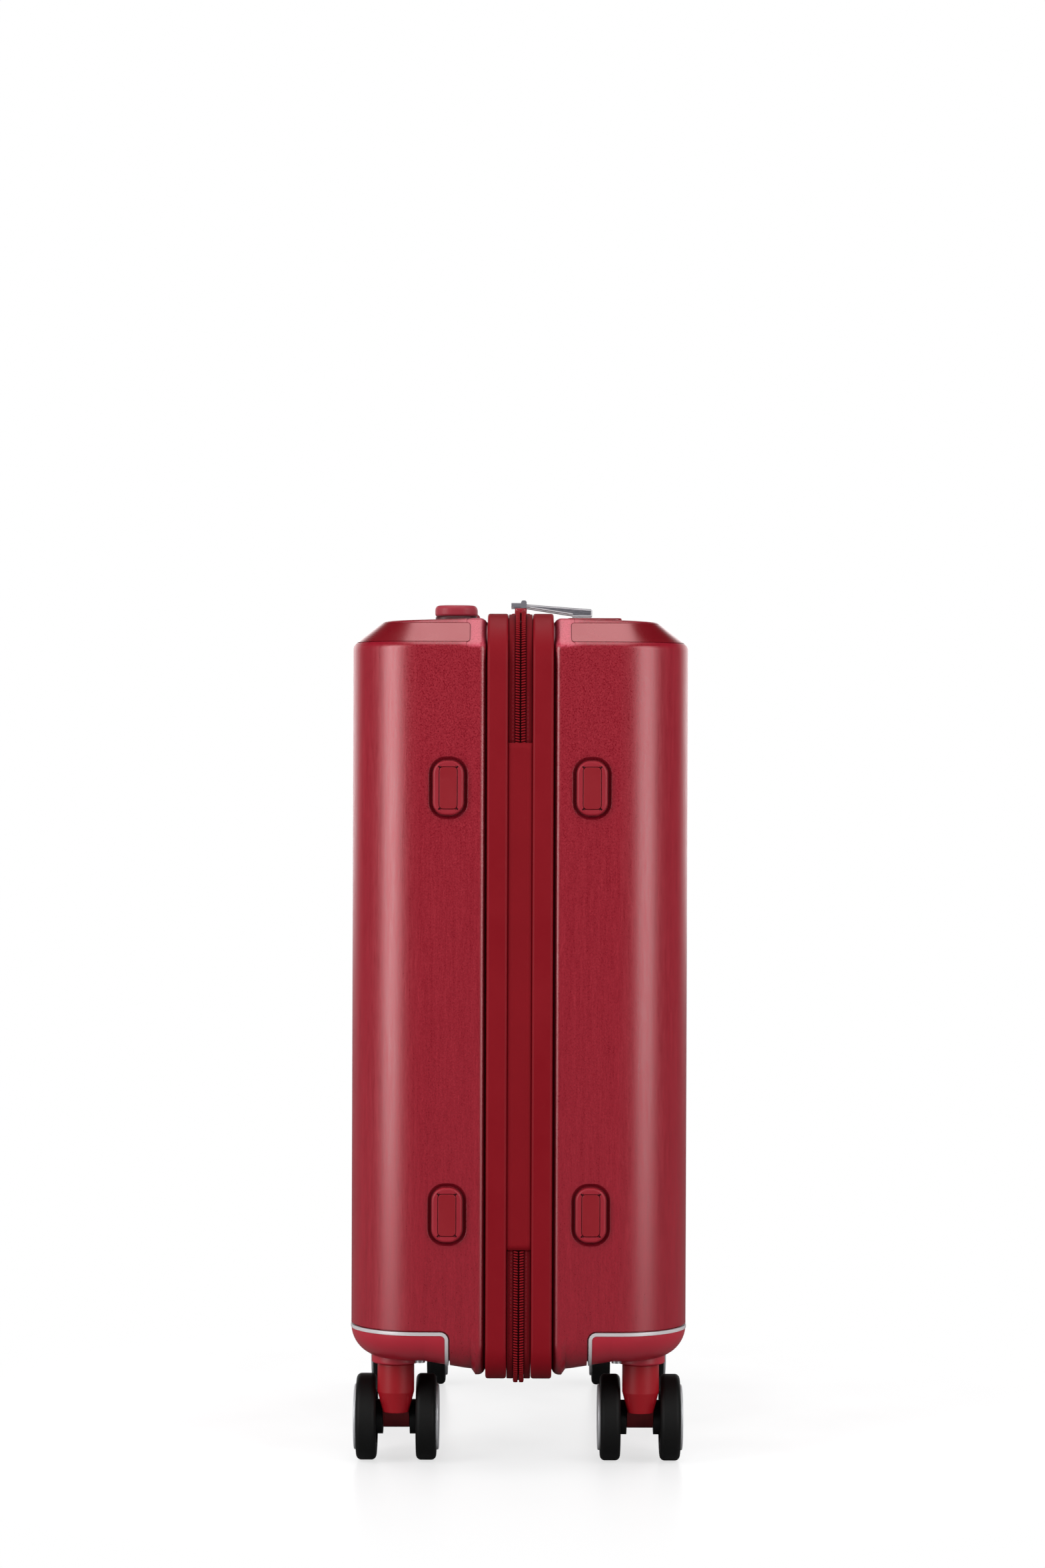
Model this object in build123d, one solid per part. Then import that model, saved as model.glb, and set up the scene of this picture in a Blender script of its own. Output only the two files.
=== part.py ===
from build123d import *
import os
from math import atan2, cos, degrees, pi, sin, sqrt, tan

# Hard-shell cabin spinner case, closed and standing upright on four twin-wheel casters.
# Millimetres: floor at z = 0, +X away from the hinge side, -Y towards the front shell,
# +Y towards the back shell (the one with the pull-out handle), +Z up.
# Everything is built about the middle of the shells and shifted along X when it is saved.

# ---------------------------------------------------------------- driving dimensions
HALF_W = 190.0          # shell half width
HALF_D = 106.5          # shell half depth
WALL = 2.6
R_CORNER = 44.0         # plan radius of the upright outer corners
Z_BASE = 69.7           # underside between the wheels
R_BASE = 20.0           # rounding of the lower edges
Z_RIM = 61.0            # underside of the rim beside the zip
R_RIM_BASE = 22.0       # rounding of the rim's lower corners
R_RIM_BEVEL = 7.0       # rounding of the bevel edges at the zip rim
R_BEVEL = 5.0           # rounding of the bevel edges elsewhere
Z_BEVEL = 521.0         # where the top bevel starts
BEVEL_W, BEVEL_H = 20.0, 15.5
BEVEL_SLOPE = BEVEL_H / BEVEL_W
BEVEL_DROP = 0.49       # lowering of the bevel start per millimetre of inset
Z_LOFT_TOP = 541.0      # bevel loft runs past the top face to here
Z_TOP_OUT = Z_BEVEL + BEVEL_H   # top face height at the bevel
Z_TOP_IN = 538.5                # top face height at the zip rim
# stations along Y: rim start, rim end, foot of the step, main body start, end of the arch
Y_RIM, Y_RIM_END, Y_STEP, Y_BODY, Y_ARCH = 21.0, 27.0, 29.6, 34.0, 59.0
Z_STEP, Z_ARCH = 64.8, 65.6     # underside at the step and where the arch starts

# Rounded outlines: half width, bottom z, top z, lower corner radius, upper corner radius
LIP = (186.4, 64.2, 536.1, 19.0, 28.6)
BAND = (191.8, 58.8, 541.5, 22.0, 34.0)
TAPE = (187.6, 63.0, 537.3, 17.8, 29.8)
WEB = (188.4, 58.3, 541.0, 22.0, 30.6)
COIL = (189.7, 55.6, 543.8, 24.0, 33.0)
LIP_T, BAND_T, WEB_T = 2.4, 4.2, 0.8    # thicknesses in the outline plane

CASTER_X, CASTER_Y = 146.0, 78.0
TROLLEY_Y, TUBE_X = 71.0, 78.0          # pull-out handle: its plane and its tubes
HANDLE_Y, SIDE_HANDLE_Z, LEG_X = 42.1, 302.0, 86.0      # carry handles and their legs
SLIDER_X = 13.0
SHIFT_X = -3.75         # centres the overall width, side handle and feet included

PAST_X = 240.0          # |x| beyond the case, for cutting blocks
TOL = 1e-3              # for picking edges by position
SIDES = (-1, 1)


# ---------------------------------------------------------------- solids by their limits
def block(x0, x1, y0, y1, z0, z1):
    centre = Pos((x0 + x1) / 2, (y0 + y1) / 2, (z0 + z1) / 2)
    return centre * Box(abs(x1 - x0), abs(y1 - y0), abs(z1 - z0))


def rounded_block(x0, x1, y0, y1, z0, z1, radius, top=0.0, bottom=0.0):
    """Block with rounded upright edges and, where asked, rounded top and bottom rims."""
    solid = block(x0, x1, y0, y1, z0, z1)
    solid = fillet(solid.edges().filter_by(Axis.Z), radius)
    if top:
        solid = fillet(solid.edges().group_by(Axis.Z)[-1], top)
    if bottom:
        solid = fillet(solid.edges().group_by(Axis.Z)[0], bottom)
    return solid


def post(x, y, half_x, half_y, z0, z1, radius, top=0.0, bottom=0.0):
    """Rounded block about an upright centre line."""
    return rounded_block(x - half_x, x + half_x, y - half_y, y + half_y, z0, z1,
                         radius, top, bottom)


def side_pad(y, z, width, height, radius, x0, x1):
    """Plate facing along X with rounded corners."""
    solid = block(x0, x1, y - width / 2, y + width / 2, z - height / 2, z + height / 2)
    return fillet(solid.edges().filter_by(Axis.X), radius)


def cyl_x(x0, x1, y, z, radius):
    return Pos((x0 + x1) / 2, y, z) * Rot(0, 90, 0) * Cylinder(radius, x1 - x0)


def cyl_y(x, y0, y1, z, radius):
    return Pos(x, (y0 + y1) / 2, z) * Rot(90, 0, 0) * Cylinder(radius, abs(y1 - y0))


def cyl_z(x, y, z0, z1, radius):
    return Pos(x, y, (z0 + z1) / 2) * Cylinder(radius, z1 - z0)


def closed_wire(curves):
    return Wire([curve.edge() for curve in curves])


def polygon_prism(points, direction):
    count = len(points)
    sides = [Line(points[k], points[(k + 1) % count]) for k in range(count)]
    return Solid.extrude(Face(closed_wire(sides)), Vector(*direction))


def mirror_front(shape):
    return mirror(shape, about=Plane.XZ)


def circle_edges(shape):
    return [e for e in shape.edges() if e.geom_type == GeomType.CIRCLE]


def flat_y_edges(shape):
    """Edges lying in a plane of constant y."""
    return [e for e in shape.edges() if e.bounding_box().size.Y < TOL]


def largest(shape):
    return sorted(shape.solids(), key=lambda solid: -solid.volume)[0]


# ---------------------------------------------------------------- outlines
def z_top(y):
    """Height of the sloping top face."""
    fraction = (abs(y) - Y_RIM) / (HALF_D - BEVEL_W - Y_RIM)
    return Z_TOP_IN + (Z_TOP_OUT - Z_TOP_IN) * fraction


def arc_xz(cx, cz, radius, a0, a1, y):
    def point(a):
        return (cx + radius * cos(a), y, cz + radius * sin(a))
    return ThreePointArc(point(a0), point((a0 + a1) / 2), point(a1))


def bevel_wire(y, hw, zb, zt, rb, z_bevel, r_bevel=R_BEVEL):
    """Closed outline at y with rounded lower corners and bevelled upper corners."""
    slope_angle = atan2(BEVEL_SLOPE, 1.0)
    turn = pi / 2 - slope_angle          # turn at the lower bevel edge
    run = (zt - z_bevel) / BEVEL_SLOPE
    low_cut = r_bevel * tan(turn / 2)    # tangent lengths of the two edge roundings
    high_cut = r_bevel * tan(slope_angle / 2)
    dx, dz = -cos(slope_angle), sin(slope_angle)
    z_low = z_bevel - low_cut
    x_high = hw - run - high_cut
    x_start, z_start = hw + dx * low_cut, z_bevel + dz * low_cut
    x_end, z_end = hw - run - dx * high_cut, zt - dz * high_cut
    cx, cz = hw - r_bevel, zt - r_bevel
    return closed_wire([
        Line((-hw + rb, y, zb), (hw - rb, y, zb)),
        arc_xz(hw - rb, zb + rb, rb, -pi / 2, 0, y),
        Line((hw, y, zb + rb), (hw, y, z_low)),
        arc_xz(cx, z_low, r_bevel, 0, turn, y),
        Line((x_start, y, z_start), (x_end, y, z_end)),
        arc_xz(x_high, cz, r_bevel, turn, pi / 2, y),
        Line((x_high, y, zt), (-x_high, y, zt)),
        arc_xz(-x_high, cz, r_bevel, pi / 2, pi - turn, y),
        Line((-x_end, y, z_end), (-x_start, y, z_start)),
        arc_xz(-cx, z_low, r_bevel, pi - turn, pi, y),
        Line((-hw, y, z_low), (-hw, y, zb + rb)),
        arc_xz(-hw + rb, zb + rb, rb, pi, 3 * pi / 2, y)])


def outline_wire(y, hw, zb, zt, rb, rt):
    """Closed outline at y with all four corners rounded."""
    return closed_wire([
        Line((-hw + rb, y, zb), (hw - rb, y, zb)),
        arc_xz(hw - rb, zb + rb, rb, -pi / 2, 0, y),
        Line((hw, y, zb + rb), (hw, y, zt - rt)),
        arc_xz(hw - rt, zt - rt, rt, 0, pi / 2, y),
        Line((hw - rt, y, zt), (-hw + rt, y, zt)),
        arc_xz(-hw + rt, zt - rt, rt, pi / 2, pi, y),
        Line((-hw, y, zt - rt), (-hw, y, zb + rb)),
        arc_xz(-hw + rb, zb + rb, rb, pi, 3 * pi / 2, y)])


def inset_outline(outline, t):
    hw, zb, zt, rb, rt = outline
    return (hw - t, zb + t, zt - t, rb - t, rt - t)


def slab(y0, y1, outline):
    return Solid.extrude(Face(outline_wire(y0, *outline)), Vector(0, y1 - y0, 0))


def plan_wire(inset, z, y0):
    """Plan of the half case at z, with its two outer corners rounded."""
    hw, yb, r = HALF_W - inset, HALF_D - inset, max(R_CORNER - inset, 2.0)
    k = r * (1 - cos(pi / 4))
    return closed_wire([
        Line((-hw, y0, z), (-hw, yb - r, z)),
        ThreePointArc((-hw, yb - r, z), (-hw + k, yb - k, z), (-hw + r, yb, z)),
        Line((-hw + r, yb, z), (hw - r, yb, z)),
        ThreePointArc((hw - r, yb, z), (hw - k, yb - k, z), (hw, yb - r, z)),
        Line((hw, yb - r, z), (hw, y0, z)),
        Line((hw, y0, z), (-hw, y0, z))])


# ---------------------------------------------------------------- shell forms, on the +Y side
def above_top(drop, y0):
    """Everything above the sloping top face, lowered by drop."""
    start, end, ceiling, reach = y0 - 5, 130, 620, 260
    points = [(0, start, z_top(start) - drop), (0, end, z_top(end) - drop),
              (0, end, ceiling), (0, start, ceiling)]
    return Pos(-reach, 0, 0) * polygon_prism(points, (2 * reach, 0, 0))


def main_body(inset, y0, r_bevel=R_BEVEL):
    """The prism behind the rim: upright walls, rounded lower edges and the top bevel."""
    zb, z_bevel = Z_BASE + inset, Z_BEVEL - BEVEL_DROP * inset
    low = Solid.extrude(Face(plan_wire(inset, zb, y0)), Vector(0, 0, z_bevel - zb))
    edges = [e for e in low.edges()
             if abs(e.center().Z - zb) < TOL and e.center().Y > y0 + 0.5]
    low = fillet(edges, R_BASE - inset)
    run = (Z_LOFT_TOP - z_bevel) / BEVEL_SLOPE
    wires = [plan_wire(inset, z_bevel, y0), plan_wire(inset + run, Z_LOFT_TOP, y0)]
    body = low + Solid.make_loft(wires, True) - above_top(inset, y0)
    if not r_bevel:
        return body
    # Guards the bevel roundings: where one fails, the edges keep their last good state.
    try:
        edges = [e for e in body.edges()
                 if abs(e.center().Z - z_bevel) < 0.05 and e.center().Y > y0 + 0.5
                 and abs(e.bounding_box().size.Z) < 0.05]
        body = fillet(edges, r_bevel)
        edges = []
        for e in body.edges():
            c = e.center()
            on_top = c.Z > 533 and abs(c.Z - (z_top(c.Y) - inset)) < 0.3
            if c.Y > y0 + 0.5 and on_top and e.bounding_box().size.Z < 3.5:
                edges.append(e)
        body = fillet(edges, r_bevel)
    except Exception:
        pass
    return body


def rim_body(inset, y0, soft):
    """From the zip rim back to the main body: bevelled rim, its step and the arch below."""
    hw, r_rim, r_base = HALF_W - inset, R_RIM_BASE - inset, R_BASE - inset
    z_bevel = Z_BEVEL - BEVEL_DROP * inset - 0.25
    zt = z_top(24) - inset
    z_arch = Z_ARCH + inset

    def rim_wire(y, zb):
        return bevel_wire(y, hw, zb, zt, r_rim, z_bevel, R_RIM_BEVEL)

    rim = Solid.extrude(Face(rim_wire(y0, Z_RIM + inset)), Vector(0, Y_RIM_END - y0, 0))
    if soft:
        rim = fillet([e for e in flat_y_edges(rim) if abs(e.center().Y - y0) < TOL], soft)
    rim_end = rim_wire(Y_RIM_END, Z_RIM + inset)
    step_end = rim_wire(Y_STEP, Z_STEP + inset)
    body_start = bevel_wire(Y_BODY, hw, z_arch, z_top(Y_BODY) - inset - 0.25, r_base, z_bevel)
    step = Solid.make_loft([rim_end, step_end], True)
    back = Solid.make_loft([step_end, body_start], True)
    arch = Solid.make_loft([outline_wire(Y_BODY, hw, z_arch, 120, r_base, 4),
                            outline_wire(Y_ARCH, hw, Z_BASE + inset, 120, r_base, 4)], True)
    return rim + step + back + arch


def shell_form(inset, rim_start, soft=0.0):
    return main_body(inset, Y_BODY) + rim_body(inset, rim_start, soft)


OUTER = shell_form(0.0, Y_RIM, soft=4.6)
INNER = shell_form(WALL, Y_RIM + 3.0)
MOUTH = inset_outline(LIP, LIP_T)       # opening inside the lip


def half_shell():
    lip = slab(8.7, Y_RIM + 0.5, LIP) - slab(7.7, Y_RIM + 1.5, MOUTH)
    mouth = slab(8.0, Y_RIM + 3.5, MOUTH)
    return (OUTER - INNER - mouth) + lip


# ---------------------------------------------------------------- satin plates in the top bevel
TRIM_Y0, TRIM_Z0, TRIM_Z1, TRIM_R = 32.0, 523.2, 535.2, 1.6
TRIM_GAP = 0.15


def trim_zone(grow):
    zone = block(-PAST_X, PAST_X, TRIM_Y0 - grow, 150, TRIM_Z0 - grow, TRIM_Z1 + grow)
    edges = [e for e in zone.edges().filter_by(Axis.X) if e.center().Y < 40]
    return fillet(edges, TRIM_R + grow)


def bevel_trim_and_recess():
    proud, seat = main_body(-0.22, 30.0), main_body(1.3, 30.0)
    return (proud & trim_zone(0.0)) - seat, trim_zone(TRIM_GAP) - seat


# ---------------------------------------------------------------- wheel housings, edge strips
HOUSE_X, HOUSE_Y, HOUSE_Z = 112.0, 44.0, 90.4   # inner |x|, inner |y| and top of a housing
HOUSE_R = 5.0
HOUSE_LAP = 8.0         # overlap inside the shell
HOUSE_GAP = 0.9         # clearance cut in the shell
STRIP_W = 2.1
SCREWS = ((122.0, 92.0), (172.0, 62.0))         # |x|, y
HOUSING_CORE = shell_form(5.0, 26.0)
STRIP_SEAT = shell_form(1.2, 22.0)
STRIP_FACE = shell_form(-0.3, 21.0)


def house_region(side, grow):
    """Lower outer corner of the half, up to the housing's edge and grown."""
    y_edge, x_edge, z_edge = HOUSE_Y - grow, HOUSE_X - grow, HOUSE_Z + grow
    across = block(-260, 260, y_edge, 160, 40, z_edge)
    across = fillet([e for e in across.edges().filter_by(Axis.X)
                     if abs(e.center().Y - y_edge) < TOL and e.center().Z > 60], HOUSE_R + grow)
    along = block(side * x_edge, side * PAST_X, -20, 160, 40, z_edge)
    along = fillet([e for e in along.edges().filter_by(Axis.Y)
                    if abs(abs(e.center().X) - x_edge) < TOL and e.center().Z > 60],
                   HOUSE_R + grow)
    return across & along


def housing_and_strip(side):
    region = house_region(side, 0.0)
    housing = (OUTER & region) + (INNER & house_region(side, HOUSE_LAP)) - HOUSING_CORE
    edge = region - house_region(side, -STRIP_W)
    strip = (STRIP_FACE & edge) - STRIP_SEAT
    housing = housing - (edge - STRIP_SEAT)
    x = side * CASTER_X
    disc = cyl_z(x, CASTER_Y, 65.2, 71.0, 15.5)
    disc = fillet(disc.edges().group_by(Axis.Z)[0], 1.2)
    boss = cyl_z(x, CASTER_Y, 70.5, 74.7, 12.0)
    return housing + disc + boss, strip


def side_fasteners(side):
    """Kingpin and two housing screws."""
    x = side * CASTER_X
    pins = [cyl_z(x, CASTER_Y, 46.5, 74.8, 4.0) + cyl_z(x, CASTER_Y, 74.7, 77.2, 7.5)]
    for screw_x, y in SCREWS:
        x = side * screw_x
        pins.append(cyl_z(x, y, 68.9, 71.4, 3.2) + cyl_z(x, y, 70.5, 76.5, 1.6))
    return pins


# ---------------------------------------------------------------- side feet on the hinge side
FOOT_Y = 45.0
FOOT_Z = (164.3, 431.4)
FOOT_W, FOOT_H, FOOT_R = 19.2, 34.2, 8.2
FOOT_SEAT_X = -188.2    # floor of the recess in the shell


def foot_recess(z):
    def wire(x, width, height, radius):
        plane = Plane((x, FOOT_Y, z), x_dir=(0, 1, 0), z_dir=(-1, 0, 0))
        return Wire((plane * RectangleRounded(width, height, radius)).wire().edges())
    return Solid.make_loft([wire(-190.3, 25.0, 40.0, 11.0),
                            wire(FOOT_SEAT_X, 20.4, 35.4, 8.8)], True)


def foot_backing(z):
    return side_pad(FOOT_Y, z, 28.0, 43.0, 12.0, -188.0, -185.4) & INNER


def foot(z):
    """Rubber pad and the insert let into its face."""
    pad = side_pad(FOOT_Y, z, FOOT_W, FOOT_H, FOOT_R, -193.3, FOOT_SEAT_X)
    pad = fillet(pad.edges().group_by(Axis.X)[0], 1.5)
    pad = pad - side_pad(FOOT_Y, z, 11.8, 26.9, 2.85, -194.0, -192.0)
    insert = side_pad(FOOT_Y, z, 11.1, 26.2, 2.5, -193.5, -192.0)
    insert = fillet(insert.edges().group_by(Axis.X)[0], 0.4)
    return [pad, insert]


# ---------------------------------------------------------------- piping, zip and hinge panel
BAND_IN, BAND_OUT = 7.7, 20.8           # soft piping, as distance from the middle plane
TAPE_Y, WEB_Y, COIL_Y0, COIL_Y1 = 6.7, 7.5, 0.1, 3.4
HINGE_Z0, HINGE_Z1 = 142.6, 459.3       # hinge panel between the two ends of the zip


def piping():
    band = slab(BAND_IN, BAND_OUT, BAND)
    band = fillet(flat_y_edges(band), 1.5)
    return band - slab(BAND_IN - 1, BAND_OUT + 1, inset_outline(BAND, BAND_T))


def zip_half():
    """Tape and coil of one side of the zip, open at the hinge."""
    web_inner = inset_outline(WEB, WEB_T)
    lining_tape = slab(TAPE_Y, BAND_OUT, TAPE) - slab(5.0, 22.0, LIP)
    web = slab(TAPE_Y, WEB_Y, WEB) - slab(6.0, 8.0, LIP)
    outer_tape = slab(COIL_Y1, WEB_Y, WEB) - slab(3.0, 8.0, web_inner)
    coil = slab(COIL_Y0, COIL_Y1, COIL)
    coil = fillet(flat_y_edges(coil), 0.9)
    coil = coil - slab(-1.0, 4.0, web_inner)
    hinge_gap = block(-PAST_X, -150, -30, 30, 142.0, 460.0)
    slider_gap = block(-24, 24, -4, 4, 530, 560)
    tape = lining_tape + web + outer_tape - hinge_gap
    return tape, coil - hinge_gap - slider_gap


def hinge():
    panel = block(-190.0, -188.4, -7.2, 7.2, HINGE_Z0, HINGE_Z1)
    panel = fillet(panel.edges().filter_by(Axis.X), 1.2)
    for y0, y1 in ((-5.4, -4.6), (4.6, 5.4)):       # raised lines beside the edges
        panel = panel + block(-190.4, -190.0, y0, y1, HINGE_Z0 + 3, HINGE_Z1 - 3)
    return panel


# ---------------------------------------------------------------- carry handles
# Drawn on a flat surface at z = 0, long way along X, then placed on the top and the +X side.
HANDLE_HW, HANDLE_HALF_D = 98.0, 13.8
LEG_END_Z, LEG_HEAD = -27.6, 3.0
HANDLE_PLACES = (Pos(0, HANDLE_Y, 538.2),
                 Pos(HALF_W, HANDLE_Y, SIDE_HANDLE_Z) * Rot(0, 90, 0))


def carry_grip():
    grip = post(0, 0, HANDLE_HW, HANDLE_HALF_D, 3.9, 11.0, 11.0, top=3.0, bottom=1.6)
    waist = block(-70, 70, -30, -HANDLE_HALF_D + 2.6, -1, 14)
    waist = fillet(waist.edges().filter_by(Axis.Z), 2.4)
    grip = grip - waist - mirror_front(waist)
    for side in SIDES:
        x = side * LEG_X
        grip = grip + post(x, 0, 7, 4.5, LEG_END_Z, 6.0, 2.0)
        grip = grip + post(x, 0, 9, 6.2, LEG_END_Z, LEG_END_Z + LEG_HEAD, 2.0)
    return grip


def mount_forms(side):
    """Cap, sleeve and inner flange of one mount, and the hole for the leg."""
    x0, x1 = sorted((side * 72.0, side * 101.5))
    x, cap_y = side * LEG_X, HANDLE_HALF_D - 0.4
    cap = rounded_block(x0, x1, -cap_y, cap_y, -1.5, 3.5, 9.0, top=0.8)
    sleeve = post(x, 0, 9.6, 7.2, -8.0, 1.0, 2.5)
    flange = post(x, 0, 13.5, 11.5, -6.2, -2.0, 3.0)
    hole = post(x, 0, 7.15, 4.65, -20, 20, 2.1)
    return cap, sleeve, flange, hole


def fit_mounts(shell):
    """Cuts the shell for each mount in turn and returns it with the mounts."""
    mounts = []
    forms = [mount_forms(side) for side in SIDES]
    for place in HANDLE_PLACES:
        for cap, sleeve, flange, hole in forms:
            shell = shell - place * sleeve
            mount = (place * cap + place * sleeve + place * flange) - shell
            mounts.append(largest(mount - place * hole))
    return shell, mounts


# ---------------------------------------------------------------- pull-out handle
WELL_X, WELL_Y, WELL_R = 96.0, 13.2, 10.0       # half sizes and corner radius of the well
WELL_GAP = 0.1
Z_POCKET = 519.8                                # floor of the well
TUBE_WALL = 1.0
# Tube half width, half depth, corner radius
OUTER_TUBE, MIDDLE_TUBE, INNER_TUBE = (10.0, 6.5, 3.0), (8.9, 5.4, 2.0), (7.8, 4.3, 1.6)


def tube_bar(side, size, z0, z1):
    half_x, half_y, radius = size
    return post(side * TUBE_X, TROLLEY_Y, half_x, half_y, z0, z1, radius)


def tube(side, size, z0, z1):
    bore = tuple(value - TUBE_WALL for value in size)
    return tube_bar(side, size, z0, z1) - tube_bar(side, bore, z0 - 1, z1 + 1)


def outer_tube(side):
    base = post(side * TUBE_X, TROLLEY_Y, 14, 10, 72.3, 77.5, 3.0)
    return tube(side, OUTER_TUBE, 77.5, Z_POCKET) + base


def trolley_cutout():
    return post(0, TROLLEY_Y, WELL_X + WELL_GAP, WELL_Y + WELL_GAP, 500.0, 560.0,
                WELL_R + WELL_GAP)


def trolley_well(shell):
    y = TROLLEY_Y
    well = post(0, y, WELL_X, WELL_Y, 514.0, 545.0, WELL_R) - above_top(-0.3, 30.0)
    flange = rounded_block(-99.5, 99.5, y - 16.0, y + 15.4, 531.4, 545.0, 12.0) & INNER
    bezel = well + (flange - well)
    bezel = bezel - post(0, y, 92.4, 10.4, Z_POCKET, 560.0, 8.4)
    for side in SIDES:
        bezel = bezel - tube_bar(side, OUTER_TUBE, 500, 530)
    return largest(bezel - shell)


def trolley_handle():
    y = TROLLEY_Y
    grip = post(0, y, 92.0, 10.0, 520.5, 536.9, 8.0, top=2.4, bottom=1.2)
    grip = grip - post(0, y, 84.0, 6.4, 525.0, 534.6, 3.0)
    grip = grip - post(0, y, 20.2, 5.2, 530.0, 540.0, 4.2)
    for side in SIDES:
        grip = grip - tube_bar(side, INNER_TUBE, 515, 527)
    return grip


def trolley_release():
    """Button, the bar under it and a rod down each tube."""
    y = TROLLEY_Y
    button = post(0, y, 20.0, 5.0, 532.0, 536.6, 4.0, top=0.8)
    button = button + block(-81.0, 81.0, y - 2.5, y + 2.5, 529.4, 533.4)
    for side in SIDES:
        button = button + cyl_z(side * TUBE_X, y, 120.0, 531.0, 1.6)
    return button


# ---------------------------------------------------------------- linings, straps and divider
LINING_T = 0.8
LINING_INSET = 6.6      # from the shell's outer face
LINING_X, LINING_Z0, LINING_Y0, LINING_Y1 = 183.0, 80.0, 22.6, 99.2
BACK_LINING_Z, FRONT_LINING_Z = 506.0, 522.0
HUMP_HALF = 15.0
STRAP_W, STRAP_T, STRAP_REACH = 30.0, 1.2, 215.0
STRAP_Y, STRAP_Z0, STRAP_Z1 = 30.0, 130.0, 474.0


def fit_inside(shape, shrink, y0):
    """Trims a shape to the lining's space."""
    return (shape & main_body(LINING_INSET + shrink, y0, 0)
            & slab(y0, 120.0, inset_outline(MOUTH, shrink)))


def lining(z1, humps):
    """Thin tray with a rim and skirt; humps are blocks it must clear."""
    x, z0, t = LINING_X, LINING_Z0, LINING_T
    tray = fit_inside(block(-x, x, LINING_Y0, LINING_Y1, z0, z1), 0.0, 20.0)
    hollow = fit_inside(block(-x + t, x - t, 20.0, LINING_Y1 - t, z0 + t, z1 - t), t, 18.0)
    for hx0, hx1, hy0, hy1, hz0, hz1 in humps:
        tray = tray - block(hx0, hx1, hy0, hy1, hz0, hz1)
        hollow = hollow - block(hx0 - t, hx1 + t, hy0 - t, hy1, hz0 - t, hz1 + t)
    rim_y1 = LINING_Y0 + t
    opening = block(-x + 0.5, x - 0.5, 20, 30, z0 + 0.5, z1 - 0.5)
    rim = slab(LINING_Y0, rim_y1, MOUTH) - fit_inside(opening, 0.4, 18.0)
    skirt = slab(17.0, rim_y1, MOUTH) - slab(16.0, rim_y1 + 1, inset_outline(MOUTH, t))
    return (tray - hollow) + rim + skirt


def back_humps():
    """Blocks round the trolley tubes, then round the side handle's legs."""
    tubes, legs = [], []
    for side in SIDES:
        x, z = side * TUBE_X, SIDE_HANDLE_Z + side * LEG_X
        tubes.append((x - HUMP_HALF, x + HUMP_HALF, 59.0, 130.0, 60.0, 530.0))
        legs.append((152.0, 230.0, 28.0, 56.0, z - HUMP_HALF, z + HUMP_HALF))
    return tubes + legs


def strap(z0, z1, y0):
    """Diagonal strap from z0 at the -X end to z1 at the +X end."""
    run, rise = 2 * STRAP_REACH, z1 - z0
    centre = Pos(0, y0 + STRAP_T / 2, (z0 + z1) / 2)
    return (centre * Rot(0, -degrees(atan2(rise, run)), 0)
            * Box(sqrt(run * run + rise * rise), STRAP_T, STRAP_W))


def crossed_straps():
    x, t = LINING_X - LINING_T, LINING_T
    inside = block(-x, x, 20, 60, LINING_Z0 + t, BACK_LINING_Z - t)
    rising = strap(STRAP_Z0, STRAP_Z1, STRAP_Y) & inside
    falling = strap(STRAP_Z1, STRAP_Z0, STRAP_Y + STRAP_T) & inside
    buckle = rounded_block(-27, 27, 26.4, 36.0, 280, 324, 3.0, top=2.0, bottom=2.0)
    return rising + falling + buckle


def divider_panel():
    x, t = LINING_X - LINING_T, LINING_T
    panel = block(-x, x, 24.4, 25.6, LINING_Z0 + t, FRONT_LINING_Z - t)
    frame = (block(-150.0, 150.0, 23.6, 24.4, 110.0, 490.0)
             - block(-146.0, 146.0, 23, 25, 114.0, 486.0))
    return fit_inside(panel + frame, t, 18.0)


# ---------------------------------------------------------------- combination lock, front half
LOCK_X, LOCK_Y0, LOCK_Y1, LOCK_ZT = 50.0, -67.0, -30.5, 542.8
LOCK_PAST = 550.0       # cuts run up past the lock's top
DIAL_X = (-17.0, 0.0, 17.0)
DIAL_Y, DIAL_Z, DIAL_R, DIAL_HALF = -57.0, 535.6, 7.0, 3.0
DIAL_NOTCHES = 10
DIAL_AXLE_R = 1.6
KEY_X = 38.0


def lock_body_block(z0, z1):
    """Footprint of the lock's body and of its hole in the shell."""
    return rounded_block(-46.0, 46.0, -65.0, -44.0, z0, z1, 3.0)


def lock_flange(z1):
    return rounded_block(-49.0, 49.0, -67.0, -41.0, 529.0, z1, 3.0)


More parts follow.
